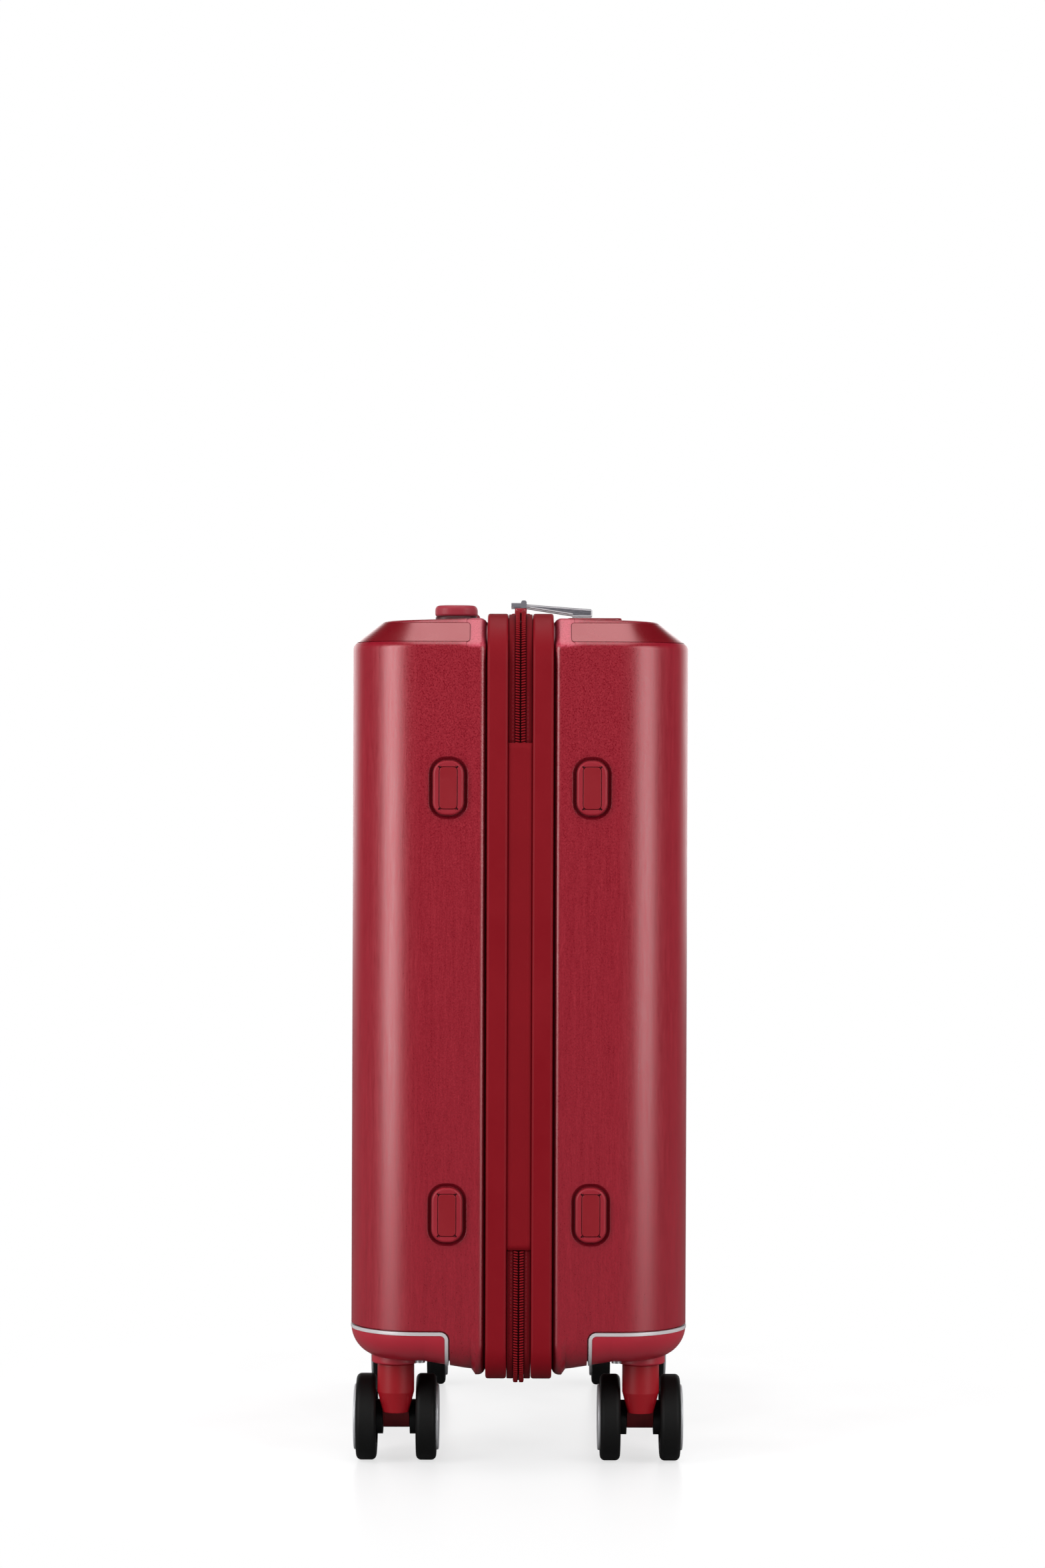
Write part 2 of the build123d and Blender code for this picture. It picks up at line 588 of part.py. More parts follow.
def lock_housing(shell):
    y, past = DIAL_Y, LOCK_PAST
    lock = rounded_block(-LOCK_X, LOCK_X, LOCK_Y0, LOCK_Y1, 535.0, LOCK_ZT, 5.0, top=1.2)
    lock = lock + lock_body_block(527.0, 540.0) + lock_flange(533.4)
    # trim to the shell, then put back the parts inside it
    lock = lock - shell - mirror_front(INNER - above_top(WALL + 1.2, 10.0))
    lock = lock + lock_body_block(527.0, 540.0) + lock_flange(533.2)
    # dial window, release slot, ring and slot of the keyhole
    lock = lock - post(0, y, 26.0, 6.4, 540.4, past, 1.5)
    lock = lock - rounded_block(-46.0, -30.5, y - 4.2, y + 4.2, 539.6, past, 1.4)
    ring = cyl_z(KEY_X, y, 541.2, past, 4.6) - cyl_z(KEY_X, y, 540.4, past + 1, 4.1)
    lock = lock - ring - block(KEY_X - 0.4, KEY_X + 0.4, y - 2.2, y + 2.2, 539.4, past)
    for side in SIDES:                  # seats for the zip pulls
        x = side * SLIDER_X
        lock = lock - rounded_block(x - 5.0, x + 5.0, -48.6, -34.0, 540.4, past, 1.2)
        lock = lock + rounded_block(x - 2.2, x + 2.2, -43.6, -39.0, 540.0, 542.6, 0.8)
    room = DIAL_HALF + 0.3
    for x in DIAL_X:
        lock = lock - cyl_x(x - room, x + room, y, DIAL_Z, DIAL_R + 0.4)
    return lock + cyl_x(-24.0, 24.0, y, DIAL_Z, DIAL_AXLE_R)


def lock_dial(x):
    dial = cyl_x(x - DIAL_HALF, x + DIAL_HALF, DIAL_Y, DIAL_Z, DIAL_R)
    dial = chamfer(circle_edges(dial), 0.5)
    dial = dial - cyl_x(x - 4.0, x + 4.0, DIAL_Y, DIAL_Z, DIAL_AXLE_R + 0.05)
    reach = DIAL_R + 0.35
    for k in range(DIAL_NOTCHES):
        a = 2 * pi * k / DIAL_NOTCHES + pi / DIAL_NOTCHES
        y, z = DIAL_Y + reach * cos(a), DIAL_Z + reach * sin(a)
        dial = dial - cyl_x(x - 3.5, x + 3.5, y, z, 0.8)
    return dial


def lock_button():
    button = rounded_block(-45.6, -37.6, DIAL_Y - 3.9, DIAL_Y + 3.9, 539.7, 542.0, 1.2)
    for k in range(3):                  # finger ridges
        x = -43.6 + 1.7 * k
        button = button + block(x, x + 0.8, DIAL_Y - 3.0, DIAL_Y + 3.0, 541.9, 542.5)
    return button


# ---------------------------------------------------------------- zip sliders and pulls
PIVOT_Y, PIVOT_Z, PIVOT_R = -1.9, 552.6, 1.0
CHEEK_Z0, CHEEK_Z1 = 551.0, 553.7
PULL_HALF = 4.2
# Side profile of the pull: y, z
PULL_PROFILE = ((-3.4, 550.9), (-34.7, 546.0), (-34.7, 544.7), (-47.7, 544.7),
                (-47.7, 549.0), (-46.9, 549.7), (-3.4, 552.9))


def slider_body(x):
    body = post(x, 0, 8.0, 6.4, 544.1, 546.6, 3.0, top=0.8)
    for side in SIDES:
        y0, y1 = sorted((side * 3.7, side * 6.4))
        body = body + rounded_block(x - 6.0, x + 6.0, y0, y1, 541.1, 544.6, 0.8)
    return body + rounded_block(x - 6.2, x + 6.2, -3.9, 4.2, 546.4, 550.3, 2.0, top=1.0)


def slider_bridge(x):
    """Two cheeks joined by a bar and by the pull's pivot."""
    cheeks = []
    for side in SIDES:
        x0, x1 = sorted((x + side * 4.6, x + side * 6.0))
        upright = block(x0, x1, -3.8, 0.0, 550.3, 555.5)
        upright = fillet(upright.edges().filter_by(Axis.X).group_by(Axis.Z)[-1], 1.5)
        cheeks.append(upright + block(x0, x1, -0.5, 6.5, CHEEK_Z0, CHEEK_Z1))
    return (cheeks[0] + cheeks[1] + block(x - 6.0, x + 6.0, 5.0, 6.5, CHEEK_Z0, CHEEK_Z1)
            + cyl_x(x - 5.0, x + 5.0, PIVOT_Y, PIVOT_Z, PIVOT_R))


def zip_pull(x):
    x0, x1 = x - PULL_HALF, x + PULL_HALF
    arm = polygon_prism([(x0, y, z) for y, z in PULL_PROFILE], (2 * PULL_HALF, 0, 0))
    pull = (arm + cyl_x(x0, x1, PIVOT_Y, PIVOT_Z, 2.1)
            - cyl_x(x - 6, x + 6, PIVOT_Y, PIVOT_Z, PIVOT_R + 0.05))
    return pull - rounded_block(x - 2.2, x + 2.2, -33.0, -12.0, 530.0, 570.0, 2.0)


# ---------------------------------------------------------------- casters
WHEEL_R, TRAIL = 27.5, 16.0
AXLE_Z = WHEEL_R
AXLE_R = 2.5
WHEEL_IN, WHEEL_OUT, CAP_OUT = 12.7, 25.6, 27.2     # tyre and cap faces from caster's middle
HUB_R = 19.0
HOOD_Z, HOOD_R, FORK_HALF = 46.6, 11.7, 8.3
CONE_Z = 33.5           # lower end of the cone under the hood
CASTERS = [(x, y) for y in (CASTER_Y, -CASTER_Y) for x in (-CASTER_X, CASTER_X)]


def tapered_link(start, r0, end, r1, y0, y1):
    """Two discs joined along their outer tangents; start and end are (x, z)."""
    dx, dz = end[0] - start[0], end[1] - start[1]
    length = sqrt(dx * dx + dz * dz)
    axis = atan2(dz, dx)
    spread = atan2(sqrt(length * length - (r0 - r1) ** 2), r0 - r1)

    def tangent(centre, radius, angle):
        return (centre[0] + radius * cos(angle), y0, centre[1] + radius * sin(angle))

    points = [tangent(start, r0, axis + spread), tangent(end, r1, axis + spread),
              tangent(end, r1, axis - spread), tangent(start, r0, axis - spread)]
    return (polygon_prism(points, (0, y1 - y0, 0))
            + cyl_y(start[0], y0, y1, start[1], r0) + cyl_y(end[0], y0, y1, end[1], r1))


def fork_and_axle(x, y):
    axle_x = x + TRAIL
    hood = cyl_z(x, y, HOOD_Z, 64.9, HOOD_R)
    hood = fillet(hood.edges().group_by(Axis.Z)[-1], 1.0)
    lower = Pos(x, y, (HOOD_Z + CONE_Z) / 2) * Cone(FORK_HALF, HOOD_R, HOOD_Z - CONE_Z)
    arm = tapered_link((x + 0.5, 44.0), 8.0, (axle_x, AXLE_Z), 6.8,
                       y - FORK_HALF, y + FORK_HALF)
    fork = hood + lower + arm
    fork = fork - cyl_z(x, y, 46.2, 80.0, 4.05) - cyl_y(axle_x, y - 20, y + 20, AXLE_Z, AXLE_R)
    return fork, cyl_y(axle_x, y - 26.2, y + 26.2, AXLE_Z, AXLE_R)


def tyre_and_hub(x, y, side):
    def disc(near, far, radius):
        return cyl_y(x + TRAIL, y + side * near, y + side * far, AXLE_Z, radius)

    tyre = disc(WHEEL_IN, WHEEL_OUT, WHEEL_R)
    tyre = fillet(circle_edges(tyre), 3.2)
    tyre = tyre - disc(WHEEL_IN - 1, WHEEL_OUT + 1, HUB_R)
    hub = disc(12.9, WHEEL_OUT, HUB_R) - disc(12.0, 15.5, 17.0) + disc(8.6, 17.0, 11.0)
    cap = disc(WHEEL_OUT, CAP_OUT, 21.0)
    outer_y = y + side * CAP_OUT
    cap = fillet([e for e in circle_edges(cap) if abs(e.center().Y - outer_y) < TOL], 0.9)
    return tyre, hub + cap - disc(8.0, 26.4, AXLE_R + 0.05)


# ---------------------------------------------------------------- one file per piece
os.makedirs("parts", exist_ok=True)


def save(name, *shapes):
    solids = []
    for shape in shapes:
        solids += list((Pos(SHIFT_X, 0, 0) * shape).solids())
    out = solids[0] if len(solids) == 1 else Compound(solids)
    export_step(out, "parts/" + name + ".step")


def save_both(name, *shapes):
    """Saves the back piece and its mirror image on the front half."""
    save("back_" + name, *shapes)
    save("front_" + name, *[mirror_front(shape) for shape in shapes])


# The half shell is cut and added to in this order.
half = half_shell()
bevel_trim, trim_recess = bevel_trim_and_recess()
half = half - trim_recess
housings, strips, fasteners, feet = [], [], [], []
for side in SIDES:
    housing, strip = housing_and_strip(side)
    housings.append(housing)
    strips.append(strip)
    fasteners += side_fasteners(side)
    half = half - house_region(side, HOUSE_GAP)
housings = [housing - Compound(fasteners) for housing in housings]
for z in FOOT_Z:
    half = half + foot_backing(z) - foot_recess(z)
    feet += foot(z)

# The front half has the lock's hole, the back half the handle and trolley holes.
front_shell = mirror_front(half) - lock_body_block(520.0, 560.0)
half, mounts = fit_mounts(half)
back_shell = half - trolley_cutout()

save("back_shell", back_shell)
save("front_shell", front_shell)
save_both("bevel_trim", bevel_trim)
save_both("binding", piping())
save_both("zipper_half", *zip_half())
save_both("feet", *feet)
save_both("wheel_housings", *housings)
save_both("trim_strips", *strips)
save_both("fasteners", *fasteners)
save("hinge_panel", hinge())

save("handle_mounts", *mounts)
for name, place in zip(("top_handle", "side_handle"), HANDLE_PLACES):
    save(name, place * carry_grip())

save("trolley_bezel", trolley_well(back_shell))
save("trolley_outer_tubes", *[outer_tube(side) for side in SIDES])
save("trolley_middle_tubes", *[tube(side, MIDDLE_TUBE, 80.0, 520.2) for side in SIDES])
save("trolley_inner_tubes", *[tube(side, INNER_TUBE, 84.0, 525.0) for side in SIDES])
save("trolley_grip", trolley_handle())
save("trolley_button", trolley_release())

save("back_lining", lining(BACK_LINING_Z, back_humps()))
save("back_straps", crossed_straps())
save("front_lining", mirror_front(lining(FRONT_LINING_Z, [])))
save("divider_panel", mirror_front(divider_panel()))

save("lock_housing", lock_housing(front_shell))
save("lock_release", lock_button())
for k, x in enumerate(DIAL_X):
    save("lock_dial_%d" % (k + 1), lock_dial(x))
for name, side in (("left", -1), ("right", 1)):
    x = side * SLIDER_X
    save("zip_slider_" + name, slider_body(x), slider_bridge(x))
    save("zip_pull_" + name, zip_pull(x))

for k, (x, y) in enumerate(CASTERS):
    save("caster_fork_%d" % (k + 1), *fork_and_axle(x, y))
    for side, tag in ((-1, "a"), (1, "b")):
        tyre, hub = tyre_and_hub(x, y, side)
        save("tyre_%d%s" % (k + 1, tag), tyre)
        save("hub_%d%s" % (k + 1, tag), hub)
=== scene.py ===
"""Hard-shell suitcase standing upright on four twin-wheel casters.

The hinge side faces -x and the zip's middle plane is y = 0, with the back half on +y and the
front half on -y. z points up. The camera looks along +x at the hinge side.
"""
import math
from collections import namedtuple
import bmesh
import bpy
from mathutils import Matrix, Vector, noise


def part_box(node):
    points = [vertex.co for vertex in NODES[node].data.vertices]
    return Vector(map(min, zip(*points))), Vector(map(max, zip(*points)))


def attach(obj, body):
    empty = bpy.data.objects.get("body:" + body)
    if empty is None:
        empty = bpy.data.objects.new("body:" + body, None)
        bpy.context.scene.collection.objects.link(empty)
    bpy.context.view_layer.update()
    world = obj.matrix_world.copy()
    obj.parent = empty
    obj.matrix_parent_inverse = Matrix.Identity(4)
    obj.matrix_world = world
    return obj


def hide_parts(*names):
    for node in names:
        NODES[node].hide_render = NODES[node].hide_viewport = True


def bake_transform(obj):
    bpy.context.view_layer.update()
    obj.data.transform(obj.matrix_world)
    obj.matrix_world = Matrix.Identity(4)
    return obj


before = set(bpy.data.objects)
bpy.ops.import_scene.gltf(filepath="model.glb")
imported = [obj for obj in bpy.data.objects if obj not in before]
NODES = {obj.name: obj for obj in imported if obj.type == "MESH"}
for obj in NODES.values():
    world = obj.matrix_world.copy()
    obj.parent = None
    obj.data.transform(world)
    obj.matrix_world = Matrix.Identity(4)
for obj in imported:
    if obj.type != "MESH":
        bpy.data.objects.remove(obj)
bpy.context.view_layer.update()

SCENE = bpy.context.scene
MM = 0.001
HALVES = (("back", 1), ("front", -1))     # name, sign of y


def box(node):
    """Lowest and highest corner of a CAD node."""
    low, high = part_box(node)
    return Vector(low), Vector(high)


SHELL_LOW, SHELL_HIGH = box("back_shell")
MID_X = (SHELL_LOW.x + SHELL_HIGH.x) / 2
CASE_HALF_WIDTH = (SHELL_HIGH.x - SHELL_LOW.x) / 2
FLOOR_Z = min(box("tyre_1a")[0].z, box("tyre_4b")[0].z)


# ---------------------------------------------------------------- node writing
MATERIALS = {}


def linear(red, green, blue):
    """Linear RGBA of an sRGB colour given in 0-255."""
    def channel(value):
        value /= 255.0
        return value / 12.92 if value <= 0.04045 else ((value + 0.055) / 1.055) ** 2.4
    return (channel(red), channel(green), channel(blue), 1.0)


def shade(colour, factor):
    return (*(min(value * factor, 1) for value in colour[:3]), 1.0)


class Nodes:
    """Short calls for writing a node tree."""

    def __init__(self, tree):
        self.tree = tree

    def feed(self, node, inputs):
        """Link each input that is given a socket; set the others to their value."""
        for key, value in inputs.items():
            if isinstance(value, bpy.types.NodeSocket):
                self.tree.links.new(value, node.inputs[key])
            else:
                node.inputs[key].default_value = value

    def add(self, kind, inputs={}, **settings):
        node = self.tree.nodes.new("ShaderNode" + kind)
        for setting, value in settings.items():
            setattr(node, setting, value)
        self.feed(node, inputs)
        return node

    def position(self, output="Object"):
        return self.add("TexCoord").outputs[output]

    def coords(self, scale=(1, 1, 1), rotation=(0, 0, 0), source=None):
        inputs = {"Vector": source or self.position(), "Scale": scale, "Rotation": rotation}
        return self.add("Mapping", inputs).outputs["Vector"]

    def split(self, vector):
        return self.add("SeparateXYZ", {0: vector}).outputs

    def noise(self, vector, scale, detail, rough=0.6, distortion=0.0):
        inputs = {"Vector": vector, "Scale": scale, "Detail": detail, "Roughness": rough,
                  "Distortion": distortion}
        return self.add("TexNoise", inputs).outputs["Fac"]

    def ramp(self, value, span=(0.3, 0.7), to=(0.0, 1.0), **settings):
        """Map the span of a value to another range, clamped at both ends."""
        inputs = {"Value": value, "From Min": span[0], "From Max": span[1],
                  "To Min": to[0], "To Max": to[1]}
        return self.add("MapRange", inputs, clamp=True, **settings).outputs["Result"]

    def calc(self, operation, a, b=0.0, *c):
        return self.add("Math", dict(enumerate((a, b, *c))), operation=operation).outputs[0]

    def mix(self, factor, a, b):
        """Colour mix; inputs 0, 6 and 7 are the factor and the two colours."""
        return self.add("Mix", {0: factor, 6: a, 7: b}, data_type="RGBA").outputs[2]

    def mix_value(self, factor, a, b):
        return self.add("Mix", {"Factor": factor, "A": a, "B": b}).outputs["Result"]

    def bevel(self, radius):
        return self.add("Bevel", {"Radius": radius}, samples=4).outputs["Normal"]

    def bump(self, height, strength, distance, normal=None):
        inputs = {"Height": height, "Strength": strength, "Distance": distance}
        if normal is not None:
            inputs["Normal"] = normal
        return self.add("Bump", inputs).outputs["Normal"]


class Shader(Nodes):
    """A new material, kept in MATERIALS under its name."""

    def __init__(self, name):
        material = bpy.data.materials.new(name)
        material.use_nodes = True
        super().__init__(material.node_tree)
        self.surface = self.tree.nodes["Principled BSDF"]
        MATERIALS[name] = material


# ---------------------------------------------------------------- materials
def plain(name, rgb, rough, rough_spread=0.08, metal=0.0, mottle=0.12, grain=0.12,
          grain_scale=1800.0, stretch=(1, 1, 1), wear=0.06, coat=0.0, bevel=0.0, sheen=0.0,
          spec=0.5):
    """Mottled solid colour: grain is the bump strength, stretch scales the grain's axes,
    wear is how strongly the pale scuffs show."""
    colour = linear(*rgb)
    sh = Shader(name)
    grain_coords = sh.coords(stretch)
    coords = sh.coords()
    patches = sh.noise(coords, scale=25.0, detail=4)
    fine = sh.noise(grain_coords, scale=grain_scale, detail=2)
    base = sh.mix(sh.ramp(patches), shade(colour, 1 - mottle), shade(colour, 1 + mottle))
    base = sh.mix(sh.ramp(fine, to=(0, 0.5)), base, shade(colour, 1 - 1.6 * mottle))
    spots = sh.noise(coords, scale=150.0, detail=6, rough=0.75, distortion=0.6)
    scuffs = sh.ramp(spots, span=(0.62, 0.75), to=(0, wear))
    lift = (0.12, 0.1, 0.1)             # added to each channel where the surface is scuffed
    pale = (*(min(value * 1.6 + add, 1) for value, add in zip(colour, lift)), 1)
    sheen_rough = 0.5
    scuff_rough = 1.2                   # roughness gained per unit of scuff
    roughness = sh.ramp(patches, span=(0.25, 0.75), to=(rough - rough_spread, rough + rough_spread))
    sh.feed(sh.surface, {
        "Base Color": sh.mix(scuffs, base, pale),
        "Roughness": sh.calc("ADD", roughness, sh.calc("MULTIPLY", scuffs, scuff_rough)),
        "Metallic": metal, "Coat Weight": coat, "Coat Roughness": 0.18,
        "Specular IOR Level": spec})
    if sheen:
        sh.feed(sh.surface, {"Sheen Weight": sheen, "Sheen Roughness": sheen_rough})
    normal = sh.bevel(bevel) if bevel else None
    bumped = sh.bump(fine, strength=grain, distance=0.0001, normal=normal)
    sh.feed(sh.surface, {"Normal": bumped})


def weave(name, rgb, pitch, depth=0.6, sheen=0.3, spec=0.25, herringbone=False):
    """Woven cloth; the herringbone follows the UV map, the plain weave the object."""
    colour = linear(*rgb)
    sh = Shader(name)
    x, y, z = sh.split(sh.position("UV") if herringbone else sh.coords())

    def wave(a, b):
        phase = sh.calc("MULTIPLY", sh.calc("ADD", a, b), 2 * math.pi / pitch)
        return sh.calc("SINE", phase)

    if herringbone:
        threads = wave(x, sh.calc("PINGPONG", y, pitch * 1.5))
    else:
        threads = sh.calc("MULTIPLY", wave(x, y), wave(z, y))
    height = sh.ramp(threads, span=(-1, 1))
    patches = sh.noise(sh.coords(), scale=30, detail=4)
    base = sh.mix(height, shade(colour, 0.55), shade(colour, 1.2))
    sh.feed(sh.surface, {
        "Base Color": sh.mix(sh.ramp(patches, to=(0, 0.35)), base, shade(colour, 0.8)),
        "Roughness": sh.ramp(patches, to=(0.77, 0.93)),
        "Sheen Weight": sheen, "Specular IOR Level": spec,
        "Normal": sh.bump(height, strength=depth, distance=0.00015)})


def shell_material():
    """Polycarbonate skin with fine streaks: upright on the walls, slanting on the bevel
    beside the zip and lengthways on top. A leathery grain takes over between them."""
    colour = linear(136, 7, 30)
    sh = Shader("shell")
    upward = sh.split(sh.add("NewGeometry").outputs["Normal"])[2]
    x, y, z = sh.split(sh.position())
    from_zip = sh.calc("ABSOLUTE", y)

    def streaks(y, scale, detail=4):
        place = sh.add("CombineXYZ", {0: x, 1: y, 2: z}).outputs[0]
        return sh.noise(sh.coords(scale, source=place), scale=1.0, detail=detail, rough=0.65)

    fine = streaks(y, scale=(1300, 1300, 95))
    broad = streaks(y, scale=(430, 430, 16), detail=3)
    leather = sh.ramp(sh.noise(sh.coords(scale=(1, 1, 0.8), rotation=(0.6, 0, 0)),
                               scale=1250, detail=2, rough=0.6, distortion=0.3))
    leather_share = sh.calc("MULTIPLY",
                            sh.ramp(from_zip, span=(0.058, 0.085), to=(0.62, 0.12)),
                            sh.ramp(z, span=(0.36, 0.50), to=(0.45, 1.0)))
    broad_share = 0.40
    wall = sh.mix(leather_share, sh.mix(broad_share, fine, broad), leather)
    slope = 0.55                        # y shift of the slanting streaks per unit of height
    slanted_y = sh.calc("ADD", y, sh.calc("MULTIPLY", z, slope))
    slanting = streaks(slanted_y, scale=(1200, 1200, 60))
    lengthways = streaks(y, scale=(9, 1400, 1400))
    near_zip = sh.calc("MULTIPLY", sh.ramp(from_zip, span=(0.040, 0.030)),
                       sh.ramp(upward, span=(0.25, 0.45)))
    height = sh.mix(near_zip, wall, slanting)
    height = sh.mix(sh.ramp(upward, span=(0.85, 0.95)), height, lengthways)

    coords = sh.coords()
    patches = sh.noise(coords, scale=6, detail=3)
    base = sh.mix(sh.ramp(height, span=(0.30, 0.70)), shade(colour, 0.77), shade(colour, 1.25))
    base = sh.mix(sh.ramp(patches, to=(0, 0.2)), base, shade(colour, 0.93))
    spots = sh.noise(coords, scale=140, detail=6, rough=0.75, distortion=0.8)
    scuffs = sh.ramp(spots, span=(0.66, 0.8), to=(0, 0.12))
    base = sh.mix(scuffs, base, shade(colour, 1.5))
    # Painted highlight: the upward-facing bevel beside the zip is painted a lighter pink, still
    # carrying the streaks.
    bevel_highlight = sh.mix(sh.ramp(height, span=(0.35, 0.65)), linear(156, 26, 46),
                        linear(192, 74, 94))
    base = sh.mix(near_zip, base, bevel_highlight)
    # Painted shade: ambient occlusion darkens the colour in creases and recesses, such as round the
    # feet and beside the bands.
    open_share = sh.add("AmbientOcclusion", {"Distance": 0.006}, samples=6).outputs["AO"]
    crease_shade = sh.ramp(open_share, span=(0.45, 0.97), to=(0.75, 0.0))
    roughness = sh.ramp(height, span=(0.28, 0.72), to=(0.25, 0.44))
    sh.feed(sh.surface, {
        "Base Color": sh.mix(crease_shade, base, shade(colour, 0.30)),
        "Roughness": sh.calc("ADD", roughness, scuffs),
        "Metallic": 0.12, "Specular IOR Level": 0.75, "Coat Weight": 0.0,
        "Normal": sh.bump(height, strength=0.25, distance=0.00012, normal=sh.bevel(0.0006))})


def pull_material():
    """Bright metal; the flat sides of a zip pull get a painted highlight on the rolled edge, a dark
    painted shadow line at the outline and a darker painted shade on the web.
    """
    start_y, end_y, neck_y = -3.4 * MM, -47.9 * MM, -34.7 * MM
    top_z, top_slope = 552.9 * MM, 0.07356
    under_z, under_slope, lowest_z = 550.9 * MM, 0.15655, 544.7 * MM
    sh = Shader("pull_metal")
    sideways = sh.split(sh.add("NewGeometry").outputs["True Normal"])[0]
    _, y, z = sh.split(sh.position())
    run = sh.calc("ADD", y, -start_y)
    top = sh.calc("MULTIPLY_ADD", run, top_slope, top_z)
    under = sh.calc("MULTIPLY_ADD", run, under_slope, under_z)
    under = sh.calc("MAXIMUM", under, lowest_z)
    past_neck = sh.calc("LESS_THAN", y, neck_y)
    drop = sh.calc("MULTIPLY", past_neck, sh.calc("SUBTRACT", under, lowest_z))
    under = sh.calc("SUBTRACT", under, drop)
    inset = sh.calc("MINIMUM", sh.calc("SUBTRACT", top, z), sh.calc("SUBTRACT", z, under))
    inset = sh.calc("MINIMUM", inset, sh.calc("ADD", y, -end_y))
    # Painted light: a dark painted shadow line at the outline, then a painted highlight band along
    # the rolled edge, then a darker painted shade over the web.
    edge = sh.ramp(inset, span=(0.12 * MM, 0.42 * MM))
    web = sh.ramp(inset, span=(0.75 * MM, 1.15 * MM))
    grain = sh.noise(sh.coords(scale=(1, 0.05, 1)), scale=2600, detail=3)
    face = sh.mix(edge, linear(58, 60, 66), linear(236, 238, 242))
    face = sh.mix(web, face, linear(104, 106, 114))
    face = sh.mix(sh.ramp(grain, span=(0.35, 0.65), to=(0.0, 0.25)), face,
                  linear(176, 178, 184))
    flat_side = sh.ramp(sh.calc("ABSOLUTE", sideways), span=(0.6, 0.8))
    sh.feed(sh.surface, {
        "Base Color": sh.mix(flat_side, linear(205, 206, 212), face),
        "Roughness": sh.ramp(grain, to=(0.2, 0.34)),
        "Metallic": 0.35,
        "Normal": sh.bump(grain, strength=0.05, distance=0.0001, normal=sh.bevel(0.0004))})


pull_material()
shell_material()
plain("bevel_plate", (134, 10, 26), rough=0.27, metal=0.35, mottle=0.05, grain=0.03, coat=0.22,
      wear=0.008, spec=1.0)
plain("piping", (118, 4, 18), rough=0.5, mottle=0.05, grain=0.08, grain_scale=1400, wear=0.04,
      spec=0.16)
plain("gusset", (116, 4, 17), rough=0.58, mottle=0.05, grain=0.15, grain_scale=1200, wear=0.04,
      spec=0.14)
weave("zip_tape", (108, 6, 17), pitch=0.0011, depth=0.5, sheen=0.05, spec=0.1, herringbone=True)
plain("zip_coil", (122, 8, 19), rough=0.5, mottle=0.1, grain=0.05, wear=0.0, spec=0.12)
# Near-black red for the core under the teeth: painted shade under and between them.
plain("zip_core_shade", (40, 3, 7), rough=0.85, mottle=0.1, spec=0.05)
plain("thread", (104, 10, 21), rough=0.7, mottle=0.1, grain=0.3, grain_scale=4000)
# Near-black red for the groove round each foot insert: painted shade.
plain("foot_groove_shade", (44, 4, 9), rough=0.8, mottle=0.1, spec=0.1)
plain("pale_stitch", (120, 120, 126), rough=0.7, mottle=0.1, grain=0.3, grain_scale=4000)
plain("foot_rubber", (136, 12, 31), rough=0.5, spec=0.4, mottle=0.06, grain=0.2,
      grain_scale=2600, bevel=0.0003)
plain("foot_insert", (126, 7, 22), rough=0.46, mottle=0.05, grain=0.05, spec=0.35)
plain("wheel_housing", (160, 24, 43), rough=0.36, mottle=0.05, grain=0.04, grain_scale=1500,
      bevel=0.0005, spec=0.6)
plain("bright_strip", (206, 200, 202), rough=0.35, rough_spread=0.04, metal=0.35, mottle=0.04,
      grain=0.03, wear=0.04)
plain("bezel_dark", (78, 14, 22), rough=0.45, mottle=0.06, bevel=0.0004)
plain("anodised_tube", (190, 190, 194), rough=0.3, metal=1.0, mottle=0.05, wear=0.015,
      stretch=(1, 1, 0.02), grain_scale=2500)
plain("handle_mount", (66, 14, 20), rough=0.5, mottle=0.06, bevel=0.0004)
weave("lining_cloth", (78, 78, 84), pitch=0.0016)
weave("webbing", (44, 44, 48), pitch=0.0012, depth=0.9)
plain("black_plastic", (24, 24, 26), rough=0.42, mottle=0.1, grain=0.08, bevel=0.0003)
plain("zinc_steel", (165, 165, 168), rough=0.32, metal=1.0, mottle=0.08)
plain("lock_body", (122, 22, 34), rough=0.3, mottle=0.05, coat=0.25, bevel=0.0004)
plain("lock_pocket", (26, 22, 24), rough=0.4, mottle=0.05)
plain("grip", (125, 24, 36), rough=0.3, mottle=0.05, coat=0.2, bevel=0.0005)
plain("soft_handle", (146, 34, 50), rough=0.5, spec=0.35, mottle=0.06, grain=0.16,
      grain_scale=2200, bevel=0.0005, sheen=0.1)
plain("red_lacquer", (150, 24, 40), rough=0.24, mottle=0.06, coat=0.5)
plain("satin_silver", (150, 152, 160), rough=0.26, metal=0.5, mottle=0.05, bevel=0.0003,
      grain=0.05)
plain("dial_black", (22, 22, 24), rough=0.38, mottle=0.08)
plain("digit_paint", (225, 225, 225), rough=0.5, mottle=0.03, wear=0.02)
plain("fork_red", (142, 9, 22), rough=0.46, spec=0.35, mottle=0.06, grain=0.05, bevel=0.0006)
# Darker red for the lower block of the fork round the axle: painted shade.
plain("axle_block_shade", (112, 12, 20), rough=0.5, mottle=0.15, grain=0.3, grain_scale=900)
plain("tyre_rubber", (5, 5, 5), rough=0.62, mottle=0.3, grain=0.5, grain_scale=2600, wear=0.02,
      spec=0.25)
plain("hub_black", (9, 9, 10), rough=0.45, mottle=0.1, spec=0.3)
plain("hub_cap", (196, 197, 200), rough=0.34, metal=0.3, mottle=0.06, grain=0.05, wear=0.05)


